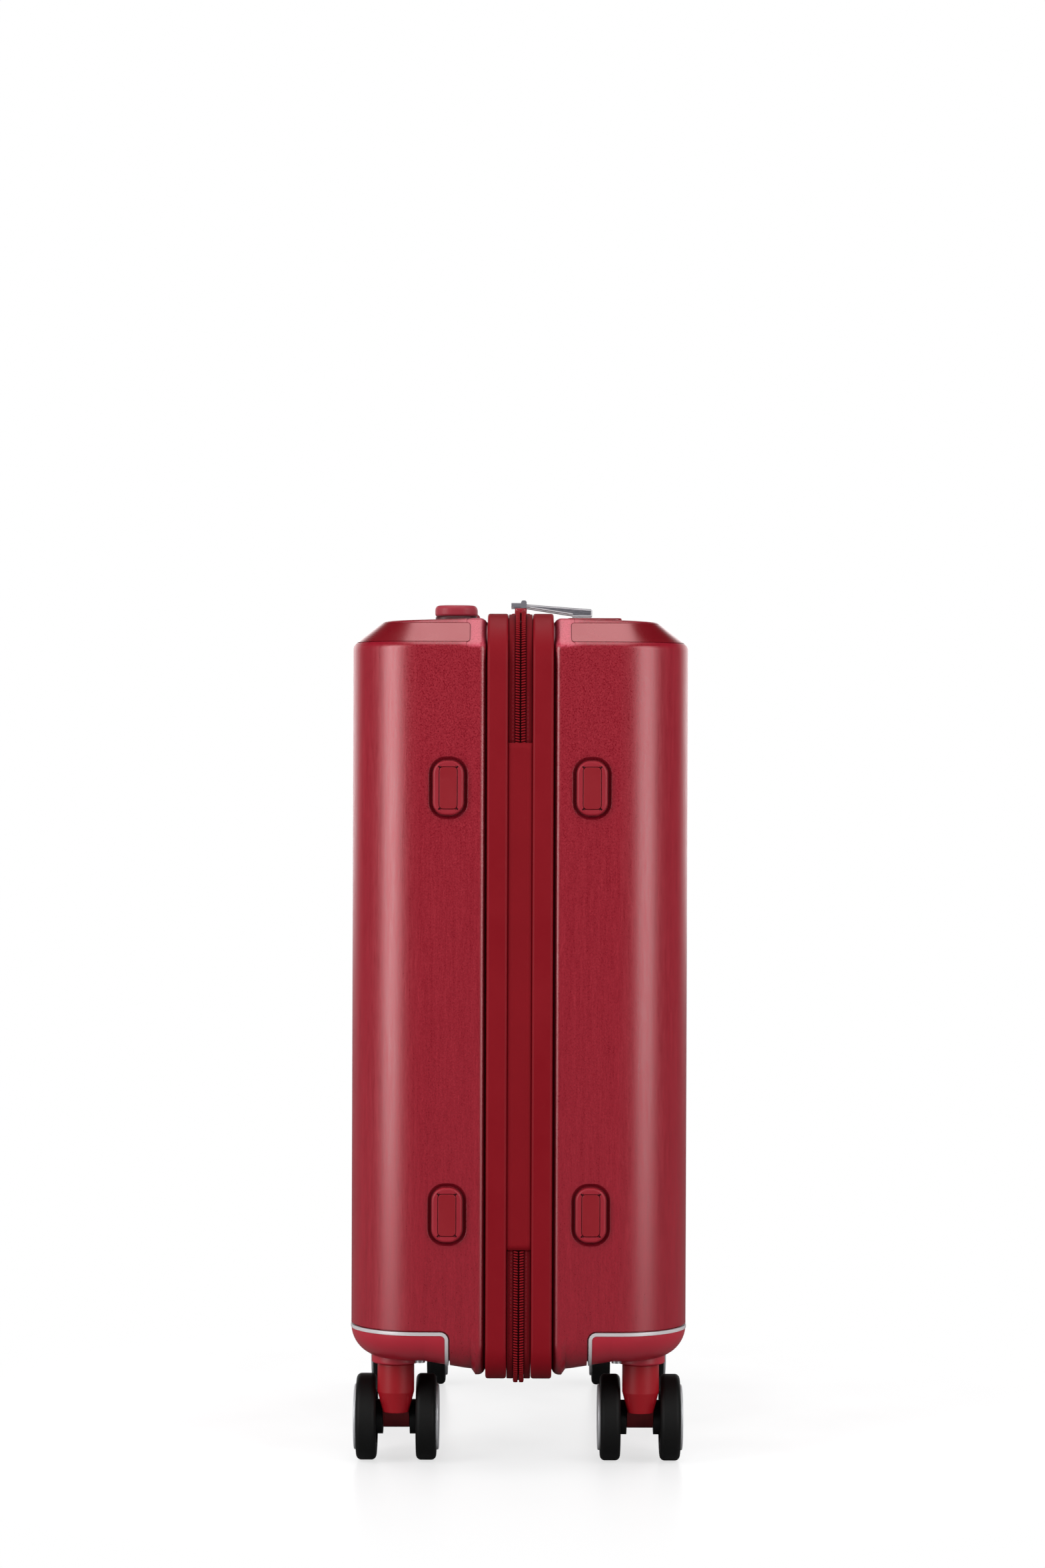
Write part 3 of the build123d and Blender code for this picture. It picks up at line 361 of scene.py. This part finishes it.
# ---------------------------------------------------------------- painting the CAD nodes
NODE_MATERIAL = {
    "back_shell": "shell", "front_shell": "shell",
    "back_bevel_trim": "bevel_plate", "front_bevel_trim": "bevel_plate",
    "back_wheel_housings": "wheel_housing", "front_wheel_housings": "wheel_housing",
    "back_trim_strips": "bright_strip", "front_trim_strips": "bright_strip",
    "trolley_bezel": "bezel_dark", "trolley_outer_tubes": "anodised_tube",
    "trolley_middle_tubes": "anodised_tube", "trolley_inner_tubes": "anodised_tube",
    "handle_mounts": "handle_mount", "back_fasteners": "zinc_steel",
    "front_fasteners": "zinc_steel", "trolley_grip": "grip", "trolley_button": "black_plastic",
    "top_handle": "soft_handle", "side_handle": "soft_handle", "lock_housing": "lock_body",
    "lock_release": "black_plastic"}


def paint(node, *materials, rule=None):
    """Give a node its materials; the rule picks a slot from a face's centre."""
    mesh = NODES[node].data
    mesh.materials.clear()
    for material in materials:
        mesh.materials.append(MATERIALS[material])
    for face in mesh.polygons:
        face.material_index = rule(face.center) if rule else 0


def paint_caster(number):
    axle_end_from_mid, axle_radius = 8.35 * MM, 3 * MM
    block_top = 33.6 * MM
    cap_from_mid = 25.55 * MM
    low, high = box(f"caster_fork_{number}")
    mid_y = (low.y + high.y) / 2
    axle = sum(box(f"tyre_{number}a"), Vector()) / 2

    def fork_slot(centre):
        from_axle = (centre - Vector((axle.x, centre.y, axle.z))).length
        if abs(centre.y - mid_y) > axle_end_from_mid and from_axle < axle_radius:
            return 2
        # Faces below the block's top get the darker red, which is painted shade.
        return 1 if centre.z < block_top else 0

    def hub_slot(centre):
        return 1 if abs(centre.y - mid_y) > cap_from_mid else 0

    paint(f"caster_fork_{number}", "fork_red", "axle_block_shade", "zinc_steel", rule=fork_slot)
    for wheel in "ab":
        paint(f"tyre_{number}{wheel}", "tyre_rubber")
        paint(f"hub_{number}{wheel}", "hub_black", "hub_cap", rule=hub_slot)


def paint_feet(side):
    """Each foot has an insert with a groove round it, painted near black as its shade."""
    centre_from_end = 17.1 * MM
    insert_half_y, insert_half_z = 5.5 * MM, 13.05 * MM
    groove_half_y, groove_half_z = 6.0 * MM, 13.6 * MM
    low, high = box(f"{side}_feet")
    mid_y = (low.y + high.y) / 2
    foot_heights = (low.z + centre_from_end, high.z - centre_from_end)

    def foot_slot(centre):
        from_y = abs(centre.y - mid_y)
        for height in foot_heights:
            from_z = abs(centre.z - height)
            if from_y < insert_half_y and from_z < insert_half_z:
                return 1
            if from_y < groove_half_y and from_z < groove_half_z:
                return 2
        return 0

    paint(f"{side}_feet", "foot_rubber", "foot_insert", "foot_groove_shade", rule=foot_slot)


def paint_sliders():
    silver_depth = 5.2 * MM             # silver part, from the slider's top down
    silver_z = box("zip_slider_left")[1].z - silver_depth
    for side in ("left", "right"):
        paint(f"zip_slider_{side}", "red_lacquer", "satin_silver",
              rule=lambda centre: 1 if centre.z > silver_z else 0)
        paint(f"zip_pull_{side}", "pull_metal")


def paint_lock():
    """Red body with a dark pocket sunk in its top."""
    low, high = box("lock_housing")
    pocket_half_x = 46.2 * MM
    pocket_y = (low.y + 1.8 * MM, high.y - 3 * MM)
    pocket_z = (high.z - 9 * MM, high.z - 1.9 * MM)

    def lock_slot(centre):
        inside = (abs(centre.x - MID_X) < pocket_half_x
                  and pocket_y[0] < centre.y < pocket_y[1]
                  and pocket_z[0] < centre.z < pocket_z[1])
        return 1 if inside else 0

    for number in (1, 2, 3):
        paint(f"lock_dial_{number}", "dial_black")
    paint("lock_housing", "lock_body", "lock_pocket", rule=lock_slot)


for node in NODES:
    if node in NODE_MATERIAL:
        paint(node, NODE_MATERIAL[node])
for number in (1, 2, 3, 4):
    paint_caster(number)
for side, _ in HALVES:
    paint_feet(side)
paint_sliders()
paint_lock()


# ---------------------------------------------------------------- mesh helpers
def add_object(name, data):
    item = bpy.data.objects.new(name, data)
    SCENE.collection.objects.link(item)
    return item


def add_mesh(name, verts, faces, material, body=None, uvs=None, smooth=True):
    """New object from lists; body is the moving part it rides on, uvs has one per vertex."""
    mesh = bpy.data.meshes.new(name)
    mesh.from_pydata([tuple(vert) for vert in verts], [], faces)
    if uvs is not None:
        layer = mesh.uv_layers.new(name="UVMap")
        for loop in mesh.loops:
            layer.data[loop.index].uv = uvs[loop.vertex_index]
    mesh.materials.append(MATERIALS[material])
    mesh.polygons.foreach_set("use_smooth", [smooth] * len(mesh.polygons))
    mesh.update()
    item = add_object(name, mesh)
    if body:
        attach(item, body)
    return item


def turn_outward(mesh):
    bm = bmesh.new()
    bm.from_mesh(mesh)
    bmesh.ops.recalc_face_normals(bm, faces=bm.faces)
    bm.to_mesh(mesh)
    bm.free()


# A place on a path round the case: x from MID_X, z, outward direction, distance travelled.
Station = namedtuple("Station", "x z out_x out_z travel")
CORNER_STEPS = 26


def loop_path(half_width, bottom, top, bottom_radius, top_radius, step):
    """Stations round the case from mid-height on the hinge side: up, over, down and back."""
    points = []
    middle = (bottom + top) / 2
    left, right = -half_width, half_width

    def straight(start, end, outward):
        length = math.hypot(end[0] - start[0], end[1] - start[1])
        count = max(int(length / step), 1)
        for i in range(count):
            share = i / count
            points.append((start[0] + (end[0] - start[0]) * share,
                           start[1] + (end[1] - start[1]) * share, *outward))

    def corner(x, z, radius, start_angle):
        for i in range(CORNER_STEPS):
            angle = start_angle - math.pi / 2 * i / CORNER_STEPS
            points.append((x + radius * math.cos(angle), z + radius * math.sin(angle),
                           math.cos(angle), math.sin(angle)))

    straight((left, middle), (left, top - top_radius), (-1, 0))
    corner(left + top_radius, top - top_radius, top_radius, math.pi)
    straight((left + top_radius, top), (right - top_radius, top), (0, 1))
    corner(right - top_radius, top - top_radius, top_radius, math.pi / 2)
    straight((right, top - top_radius), (right, bottom + bottom_radius), (1, 0))
    corner(right - bottom_radius, bottom + bottom_radius, bottom_radius, 0)
    straight((right - bottom_radius, bottom), (left + bottom_radius, bottom), (0, -1))
    corner(left + bottom_radius, bottom + bottom_radius, bottom_radius, -math.pi / 2)
    straight((left, bottom + bottom_radius), (left, middle), (-1, 0))

    stations, travel, previous = [], 0.0, points[0]
    for point in points:
        travel += math.hypot(point[0] - previous[0], point[1] - previous[1])
        stations.append(Station(*point, travel))
        previous = point
    return stations


def on_path(station, sign, across, out, along=0.0):
    """Point offset from a station; across is measured from y = 0 into the half."""
    return (MID_X + station.x + station.out_z * along + station.out_x * out,
            sign * across,
            station.z - station.out_x * along + station.out_z * out)


def sweep(name, path, outline, material, body, sign, closed, wobble=0.0):
    """Carry a closed outline of (y, outward offset) along a path."""
    verts, faces, uvs = [], [], []
    for station in path:
        shift = 0.0
        if wobble:
            seed = Vector((station.x * 18, station.z * 18, sign * 3.1))
            shift = wobble * noise.noise(seed)
        for y, out in outline:
            verts.append(on_path(station, sign, y, out + shift))
            uvs.append((station.travel, y))
    size, count = len(outline), len(path)

    def add_face(*corners):
        faces.append(corners if sign > 0 else corners[::-1])

    for i in range(count if closed else count - 1):
        here, ahead = i * size, (i + 1) % count * size
        for j in range(size):
            k = (j + 1) % size
            add_face(here + j, ahead + j, ahead + k, here + k)
    if not closed:
        add_face(*range(size))
        add_face(*reversed(range((count - 1) * size, count * size)))
    return add_mesh(name, verts, faces, material, body, uvs)


HEXAGON = [(math.cos(2 * math.pi * i / 6), math.sin(2 * math.pi * i / 6)) for i in range(6)]


def hex_rods(name, rods, material, body):
    """Many six-sided rods in one mesh; each rod is a list of six-point rings, capped."""
    verts, faces = [], []
    for rings in rods:
        base = len(verts)
        for ring in rings:
            verts += ring
        for i in range(len(rings) - 1):
            for j in range(6):
                a, b = base + i * 6 + j, base + i * 6 + (j + 1) % 6
                faces.append((a, b, b + 6, a + 6))
        faces.append(tuple(range(base + 5, base - 1, -1)))
        faces.append(tuple(range(len(verts) - 6, len(verts))))
    item = add_mesh(name, verts, faces, material, body)
    turn_outward(item.data)
    return item


def steps(position, stop, pitch):
    while position < stop:
        yield position
        position += pitch


# ---------------------------------------------------------------- piping bands
def band_outline(y0, y1, inner, outer, radius):
    """Outline of (y, offset) with its two outer corners rounded."""
    corner_steps, flat_steps = 5, 6
    points = [(y0, inner)]
    for i in range(corner_steps + 1):
        angle = math.pi - (math.pi / 2) * i / corner_steps
        points.append((y0 + radius + radius * math.cos(angle),
                       outer - radius + radius * math.sin(angle)))
    for i in range(1, flat_steps):
        points.append((y0 + radius + (y1 - y0 - 2 * radius) * (i / flat_steps), outer))
    for i in range(corner_steps + 1):
        angle = math.pi / 2 - (math.pi / 2) * i / corner_steps
        points.append((y1 - radius + radius * math.cos(angle),
                       outer - radius + radius * math.sin(angle)))
    points.append((y1, inner))
    return points


def build_piping(side, sign):
    low, high = box(f"{side}_binding")
    y0, y1 = sorted((abs(low.y), abs(high.y)))
    path = loop_path((high.x - low.x) / 2, low.z, high.z, bottom_radius=22 * MM,
                     top_radius=34 * MM, step=4 * MM)
    outline = band_outline(y0, y1, inner=-4.2 * MM, outer=0, radius=1.6 * MM)
    piping = sweep(f"{side}_piping", path, outline, "piping", f"{side}_half", sign,
                   closed=True, wobble=0.00012)
    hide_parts(f"{side}_binding")


for side, sign in HALVES:
    build_piping(side, sign)

# ---------------------------------------------------------------- zip: tape, teeth, stitches
HINGE_LOW, HINGE_HIGH = box("hinge_panel")
HINGE_BOTTOM, HINGE_TOP = HINGE_LOW.z - 0.4 * MM, HINGE_HIGH.z + 0.4 * MM
HINGE_LAP = 0.2 * MM              # the zip runs this far past each end of the gusset
HINGE_SIDE_X = -150 * MM          # stations beyond this lie on the hinge side
SLIDER_GAP = 24.2 * MM            # half the stretch on top without teeth, at the sliders
TOP_RUN_Z = 0.5                   # stations above this lie on the top run or its corners
TOOTH_PITCH, TOOTH_SLANT = 1.7 * MM, 0.55 * MM
TOOTH_Y = (0.42 * MM, 3.25 * MM)
TOOTH_OUT = -0.15 * MM
TOOTH_RADII = (0.58 * MM, 0.78 * MM)     # along the zip, outward
STITCH_PITCH, STITCH_LENGTH = 2.6 * MM, 1.8 * MM
STITCH_Y, STITCH_OUT = 4.7 * MM, -0.11 * MM
STITCH_RADII = (0.28 * MM, 0.17 * MM)    # across the zip, outward
# Rings of a rod: place along it as a share of its length, thickness factor.
TOOTH_RINGS = ((0.0, 0.45), (0.12, 1.0), (0.55, 1.12), (0.9, 0.95), (1.0, 0.45))
STITCH_RINGS = ((-0.5, 0.35), (-0.38, 1.0), (0.38, 1.0), (0.5, 0.35))
# Outlines in mm: y from the middle plane, offset outward.
TAPE_OUTLINE = (
    (3.45, -0.8), (3.45, -0.1), (3.7, 0), (5.2, 0.05), (7.0, 0), (7.4, -0.2), (7.5, -1.2),
    (7.55, -3.4), (6.75, -3.4), (6.7, -1.0), (6.4, -0.8))
CORE_OUTLINE = ((0.01, -1.5), (0.01, -0.95), (0.5, -0.6), (3.42, -0.45), (3.42, -1.5))


def in_metres(outline):
    return [(y * MM, out * MM) for y, out in outline]


def zip_run(path):
    """Cut the hinge out of a loop: from the gusset's upper end over the top to its lower."""
    run = [p for p in path if not (p.x < HINGE_SIDE_X
                                   and HINGE_BOTTOM - HINGE_LAP < p.z < HINGE_TOP + HINGE_LAP)]
    a, b = run[0], run[-1]
    first = a._replace(z=HINGE_TOP - HINGE_LAP,
                       travel=a.travel - abs(a.z - HINGE_TOP + HINGE_LAP))
    last = b._replace(z=HINGE_BOTTOM + HINGE_LAP,
                      travel=b.travel + abs(b.z - HINGE_BOTTOM - HINGE_LAP))
    return [first] + run + [last]


def resample(path, pitch):
    """Evenly spaced stations along a path."""
    stations, distance = [], 0.0
    start = path[0].travel
    for a, b in zip(path, path[1:]):
        while start + distance <= b.travel:
            share = (start + distance - a.travel) / max(b.travel - a.travel, 1e-9)
            x, z, out_x, out_z = [a[i] + (b[i] - a[i]) * share for i in range(4)]
            length = math.hypot(out_x, out_z)
            stations.append(Station(x, z, out_x / length, out_z / length, start + distance))
            distance += pitch
    return stations


def tooth(station, sign):
    """Rings of a slanting bar across the zip."""
    y0, y1 = TOOTH_Y
    return [[on_path(station, sign, y0 + (y1 - y0) * share,
                     TOOTH_OUT + sine * TOOTH_RADII[1] * girth,
                     cosine * TOOTH_RADII[0] * girth + (share - 0.5) * TOOTH_SLANT)
             for cosine, sine in HEXAGON] for share, girth in TOOTH_RINGS]


def stitch(station, sign):
    """Rings of a short bar along the zip."""
    return [[on_path(station, sign, STITCH_Y + cosine * STITCH_RADII[0] * girth,
                     STITCH_OUT + sine * STITCH_RADII[1] * girth, share * STITCH_LENGTH)
             for cosine, sine in HEXAGON] for share, girth in STITCH_RINGS]


def build_zip(side, sign):
    low, high = box(f"{side}_zipper_half")
    body = f"{side}_half"
    tape_run = zip_run(loop_path(188.4 * MM, low.z + 2.7 * MM, high.z - 2.8 * MM,
                                 bottom_radius=22 * MM, top_radius=30.6 * MM, step=3 * MM))
    tape = sweep(f"{side}_zip_tape", tape_run, in_metres(TAPE_OUTLINE), "zip_tape", body, sign,
                 closed=False, wobble=0.00015)
    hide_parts(f"{side}_zipper_half")

    teeth_run = zip_run(loop_path(189.1 * MM, low.z + 0.7 * MM, high.z - 0.7 * MM,
                                  bottom_radius=23.4 * MM, top_radius=32.4 * MM, step=1 * MM))
    teeth = [tooth(p, sign) for p in resample(teeth_run, TOOTH_PITCH)
             if not (abs(p.x) < SLIDER_GAP and p.z > TOP_RUN_Z)]
    hex_rods(f"{side}_zip_teeth", teeth, "zip_coil", body)

    # The core under the teeth, painted near black as the shade under and between them, stops on
    # either side of the sliders.
    gap_start, gap_end = (
        next(i for i, p in enumerate(teeth_run) if p.x > edge and p.z > TOP_RUN_Z)
        for edge in (-SLIDER_GAP, SLIDER_GAP))
    for number, run in ((1, teeth_run[:gap_start]), (2, teeth_run[gap_end:])):
        sweep(f"{side}_zip_core_shade_{number}", run, in_metres(CORE_OUTLINE), "zip_core_shade", body, sign,
              closed=False)
    stitches = [stitch(p, sign) for p in resample(tape_run, STITCH_PITCH)]
    hex_rods(f"{side}_zip_stitch", stitches, "thread", body)


for side, sign in HALVES:
    build_zip(side, sign)


# ---------------------------------------------------------------- hinge gusset
def build_gusset(side, sign):
    """One strip of the hinge, from y = 0 outward."""
    columns, rows = 16, 90
    width, thickness = 7.6 * MM, 1.1 * MM
    setback = 0.45 * MM                 # from the hinge panel's outer face
    sag_depth, edge_depth = 0.10 * MM, 0.25 * MM
    rib_height, rib_y, rib_width = 0.10 * MM, 5.2 * MM, 0.45 * MM
    verts, faces = [], []
    for depth in (0, thickness):
        for i in range(rows + 1):
            z = HINGE_BOTTOM + (HINGE_TOP - HINGE_BOTTOM) * i / rows
            for j in range(columns + 1):
                y = width * j / columns
                sag = sag_depth * noise.noise(Vector((y * 120 * sign, z * 22, 4.2)))
                sag *= math.sin(math.pi * min(i, rows - i) / rows)
                edge = edge_depth * max(0.0, (y / width - 0.8) / 0.2) ** 2
                rib = rib_height * math.exp(-((y - rib_y) / rib_width) ** 2)
                verts.append((HINGE_LOW.x + setback + sag + edge - rib + depth, sign * y, z))
    row = columns + 1
    layer = (rows + 1) * row
    for i in range(rows):
        for j in range(columns):
            a = i * row + j
            outer = (a, a + 1, a + row + 1, a + row)
            inner = (layer + a, layer + a + row, layer + a + row + 1, layer + a + 1)
            faces += [outer[::-1], inner[::-1]] if sign > 0 else [outer, inner]
    # Walls on the long outer edge and both ends; the edge at y = 0 stays open.
    for i in range(rows):
        a = i * row + columns
        faces.append((a, a + row, layer + a + row, layer + a))
    for j in range(columns):
        for i in (0, rows):
            a = i * row + j
            faces.append((a, a + 1, layer + a + 1, layer + a))
    gusset = add_mesh(f"{side}_gusset", verts, faces, "gusset")
    turn_outward(gusset.data)
    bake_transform(gusset)
    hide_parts("hinge_panel")


for side, sign in HALVES:
    build_gusset(side, sign)


# ---------------------------------------------------------------- cloth pieces
def slack_copy(node, name, materials, body, amount=0.35 * MM, cell=14 * MM):
    """Finer, slightly slack copy of a CAD skin; no edge stays much longer than a cell."""
    frequency = 14.0
    bm = bmesh.new()
    bm.from_mesh(NODES[node].data)
    bmesh.ops.remove_doubles(bm, verts=bm.verts, dist=1e-6)
    for _ in range(5):
        long_edges = [edge for edge in bm.edges if edge.calc_length() > cell]
        if not long_edges:
            break
        bmesh.ops.subdivide_edges(bm, edges=long_edges, cuts=1, use_grid_fill=False)
        bmesh.ops.triangulate(bm, faces=[face for face in bm.faces if len(face.verts) > 4])
    for vert in bm.verts:
        place = vert.co * frequency
        vert.co += Vector((noise.noise(place), noise.noise(place + Vector((5, 1, 2))),
                           noise.noise(place + Vector((1, 7, 3))))) * amount
    mesh = bpy.data.meshes.new(name)
    bm.to_mesh(mesh)
    bm.free()
    for material in materials:
        mesh.materials.append(MATERIALS[material])
    mesh.polygons.foreach_set("use_smooth", [False] * len(mesh.polygons))
    cloth = add_object(name, mesh)
    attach(cloth, body)
    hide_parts(node)
    return cloth


def build_straps():
    """Crossed packing straps with a black plate where they meet."""
    plate_half_x, plate_half_z = 27.5 * MM, 22.5 * MM
    straps = slack_copy("back_straps", "packing_straps", ["webbing", "black_plastic"],
                        "back_half", amount=0.2 * MM, cell=10 * MM)
    low, high = box("back_straps")
    mid_z = (low.z + high.z) / 2
    for face in straps.data.polygons:
        x, _, z = face.center
        if abs(x - MID_X) < plate_half_x and abs(z - mid_z) < plate_half_z:
            face.material_index = 1


for side, _ in HALVES:
    slack_copy(f"{side}_lining", f"{side}_lining_cloth", ["lining_cloth"],
                       f"{side}_half")
build_straps()
slack_copy("divider_panel", "divider_cloth", ["lining_cloth"], "front_half",
                   amount=0.3 * MM)

# ---------------------------------------------------------------- divider teeth, strap stitches
X_AXIS, Y_AXIS, Z_AXIS = Vector((1, 0, 0)), Vector((0, 1, 0)), Vector((0, 0, 1))
BAR_RINGS = ((-1.0, 0.6), (-0.7, 1.0), (0.7, 1.0), (1.0, 0.6))   # place, thickness factor


def bar(centre, along, across, half_sizes):
    """Rings of a bar lying in the xz plane; half sizes are its length, width and height."""
    length, width, height = half_sizes
    return [[centre + along * (length * place) + across * (width * girth * cosine)
             + Y_AXIS * (height * girth * sine)
             for cosine, sine in HEXAGON] for place, girth in BAR_RINGS]


def build_divider_teeth():
    """Teeth round the divider's rectangular opening, on its face towards y = 0."""
    half_x, bottom, top = 148 * MM, 112 * MM, 488 * MM
    pitch, half_sizes = 2.0 * MM, (1.5 * MM, 0.62 * MM, 0.55 * MM)
    y = box("divider_panel")[1].y - 0.05 * MM
    teeth = []
    for x in steps(0.0, 2 * half_x, pitch):
        for z in (bottom, top):
            teeth.append(bar(Vector((MID_X - half_x + x, y, z)), Z_AXIS, X_AXIS, half_sizes))
    for z in steps(pitch, top - bottom, pitch):
        for x in (-half_x, half_x):
            teeth.append(bar(Vector((MID_X + x, y, bottom + z)), X_AXIS, Z_AXIS, half_sizes))
    hex_rods("divider_zip_teeth", teeth, "black_plastic", "front_half")


def build_strap_stitches():
    """Two rows along each crossed strap, left out at the plate and the side edges."""
    low_end, high_end, spread = 130, 474, 430        # strap ends in mm: z, z, distance in x
    mid_z = (low_end + high_end) / 2 * MM
    angle = math.atan2(high_end - low_end, spread)
    row_offset, pitch, reach = 12.5 * MM, 4.2 * MM, 205 * MM
    half_sizes = (1.4 * MM, 0.28 * MM, 0.22 * MM)
    side_limit, under_strap_gap = 178 * MM, 40 * MM
    plate_half_x, plate_half_z = 29 * MM, 24 * MM
    stitches = []
    for rise, y in ((1, 30.0 * MM), (-1, 31.2 * MM)):
        along = Vector((math.cos(angle), 0, rise * math.sin(angle)))
        across = Vector((-along.z, 0, along.x))
        for travel in steps(-reach, reach, pitch):
            for offset in (-row_offset, row_offset):
                centre = Vector((MID_X, y - 0.12 * MM, mid_z)) + along * travel + across * offset
                from_x, from_z = abs(centre.x - MID_X), abs(centre.z - mid_z)
                on_plate = from_x < plate_half_x and from_z < plate_half_z
                crossed = rise < 0 and abs(travel) < under_strap_gap
                if from_x < side_limit and not on_plate and not crossed:
                    stitches.append(bar(centre, along, across, half_sizes))
    hex_rods("strap_stitches", stitches, "pale_stitch", "back_half")


build_divider_teeth()
build_strap_stitches()


# ---------------------------------------------------------------- numbers on the lock's dials
def build_dial_numbers(number):
    """Digits 0 to 9 round a dial's x axis, with 0 on top."""
    text_size, text_depth, lift = 3.2 * MM, 0.05 * MM, 0.02 * MM
    low, high = box(f"lock_dial_{number}")
    to_centre = Matrix.Translation((low + high) / 2)
    to_rim = Matrix.Translation((0, 0, (high.y - low.y) / 2 + lift))
    verts, faces = [], []
    for digit in range(10):
        text = bpy.data.curves.new(f"n{number}_{digit}", "FONT")
        text.body = str(digit)
        text.size = text_size
        text.extrude = text_depth
        text.align_x = "CENTER"
        text.align_y = "CENTER"
        item = bpy.data.objects.new(text.name, text)
        mesh = bpy.data.meshes.new_from_object(item)
        mesh.transform(to_centre @ Matrix.Rotation(2 * math.pi * digit / 10, 4, "X") @ to_rim)
        bpy.data.objects.remove(item)
        base = len(verts)
        verts += [vert.co[:] for vert in mesh.vertices]
        faces += [tuple(base + i for i in face.vertices) for face in mesh.polygons]
        bpy.data.meshes.remove(mesh)
    numbers = add_mesh(f"dial_{number}_numbers", verts, faces, "digit_paint",
                       f"lock_dial_{number}", smooth=False)


for number in (1, 2, 3):
    build_dial_numbers(number)


# ---------------------------------------------------------------- floor
def floor_material():
    """Seen directly it is a pale studio floor that fades to white away from the middle;
    in reflections and bounced light it is a dim grey one."""
    sh = Shader("studio_floor")
    distance = sh.add("VectorMath", {0: sh.position()}, operation="LENGTH").outputs["Value"]
    coords = sh.coords()
    sh.feed(sh.surface, {
        "Base Color": sh.mix(sh.noise(coords, scale=3.0, detail=3),
                             (0.86, 0.86, 0.87, 1), (0.90, 0.90, 0.91, 1)),
        "Roughness": sh.ramp(sh.noise(coords, scale=8.0, detail=3), to=(0.28, 0.36)),
        "Specular IOR Level": 0.4})
    white = sh.add("Emission", {"Color": (1, 1, 1, 1), "Strength": 1.0})
    dim = sh.add("BsdfDiffuse", {"Color": (0.22, 0.22, 0.22, 1)})
    fade = sh.ramp(distance, span=(0.20, 0.45), to=(0.66, 1.0))
    seen = sh.add("MixShader", {0: fade, 1: sh.surface.outputs[0], 2: white.outputs[0]})
    camera_ray = sh.add("LightPath").outputs["Is Camera Ray"]
    pick = sh.add("MixShader", {0: camera_ray, 1: dim.outputs[0], 2: seen.outputs[0]})
    sh.feed(sh.tree.nodes["Material Output"], {"Surface": pick.outputs[0]})


def build_floor():
    reach, drop = 7.0, 0.0002           # half the side; just below the tyres
    floor_material()
    mesh = bpy.data.meshes.new("studio_floor")
    corners = [(-reach, -reach, 0), (reach, -reach, 0), (reach, reach, 0), (-reach, reach, 0)]
    mesh.from_pydata(corners, [], [(0, 1, 2, 3)])
    mesh.materials.append(MATERIALS["studio_floor"])
    floor = add_object("studio_floor", mesh)
    floor.location = (0, 0, FLOOR_Z - drop)


build_floor()


# ---------------------------------------------------------------- light
def area(name, location, target, size, power, glossy=True):
    """Rectangular light at a location, aimed at a target; size is its width and height."""
    light = bpy.data.lights.new(name, "AREA")
    light.shape = "RECTANGLE"
    light.size, light.size_y = size
    light.energy = power
    item = bpy.data.objects.new(name, light)
    item.location = location
    aim = Vector(target) - Vector(location)
    item.rotation_euler = aim.to_track_quat("-Z", "Y").to_euler()
    item.visible_glossy = glossy
    SCENE.collection.objects.link(item)


def build_lights():
    middle = (MID_X, 0, 0.30)
    strip_distance = 1.5
    for name, degrees, power in (("strip_left", 47.5, 22.5), ("strip_right", -43.5, 17.3)):
        angle = math.radians(degrees)
        place = (MID_X - strip_distance * math.cos(angle), strip_distance * math.sin(angle), 0.62)
        area(name, place, middle, size=(0.68, 1.7), power=power)
    area("overhead", location=(MID_X - 0.1, 0, 1.9), target=(MID_X, 0, 0.2), size=(0.75, 1.6),
         power=9.0)
    area("front_fill", location=(MID_X - 2.6, 0, 1.3), target=(MID_X, 0, 0.25),
         size=(1.4, 1.0), power=6.0, glossy=False)
    for name, sign in (("side_left", 1), ("side_right", -1)):
        area(name, location=(MID_X + 0.30, sign * 1.9, 0.55), target=middle, size=(1.1, 1.5),
             power=16.0, glossy=False)


def build_world():
    """Reflections see a dark room with a white wall low down behind the case; diffuse
    light is even, and the camera sees white."""
    dark, wall, even, white = 0.015, 2.3, 0.34, 1.0     # background strengths
    world = bpy.data.worlds.new("studio")
    SCENE.world = world
    world.use_nodes = True
    nodes = Nodes(world.node_tree)
    rays = nodes.add("LightPath").outputs
    x, _, z = nodes.split(nodes.position("Generated"))
    behind = nodes.ramp(x, span=(0.48, 0.9), interpolation_type="SMOOTHSTEP")
    low_down = nodes.ramp(z, span=(0.15, 0.5), to=(1.0, 0.0), interpolation_type="SMOOTHSTEP")
    reflected = nodes.mix_value(nodes.calc("MULTIPLY", behind, low_down), dark, wall)
    strength = nodes.mix_value(rays["Is Glossy Ray"], even, reflected)
    strength = nodes.mix_value(rays["Is Camera Ray"], strength, white)
    nodes.feed(nodes.tree.nodes["Background"], {"Strength": strength, "Color": (1, 1, 1, 1)})


def build_camera():
    """On the hinge side, tilted slightly down and rolled a little."""
    distance, y, height = 2.378, -0.0014, 0.4543     # from the hinge side, y, above the floor
    tilt, roll = math.radians(0.49), math.radians(0.2)
    lens = bpy.data.cameras.new("cam")
    lens.lens = 87.35
    lens.sensor_width = 36.0
    lens.sensor_fit = "AUTO"
    lens.clip_start = 0.05
    lens.clip_end = 60
    camera = add_object("cam", lens)
    camera.location = (MID_X - CASE_HALF_WIDTH - distance, y, FLOOR_Z + height)
    aim = Vector((math.cos(tilt), 0, -math.sin(tilt))).to_track_quat("-Z", "Y")
    camera.rotation_mode = "QUATERNION"
    camera.rotation_quaternion = aim @ Matrix.Rotation(roll, 4, "Z").to_quaternion()
    SCENE.camera = camera


build_lights()
build_world()
build_camera()
SCENE.view_settings.view_transform = "Standard"
SCENE.view_settings.look = "None"
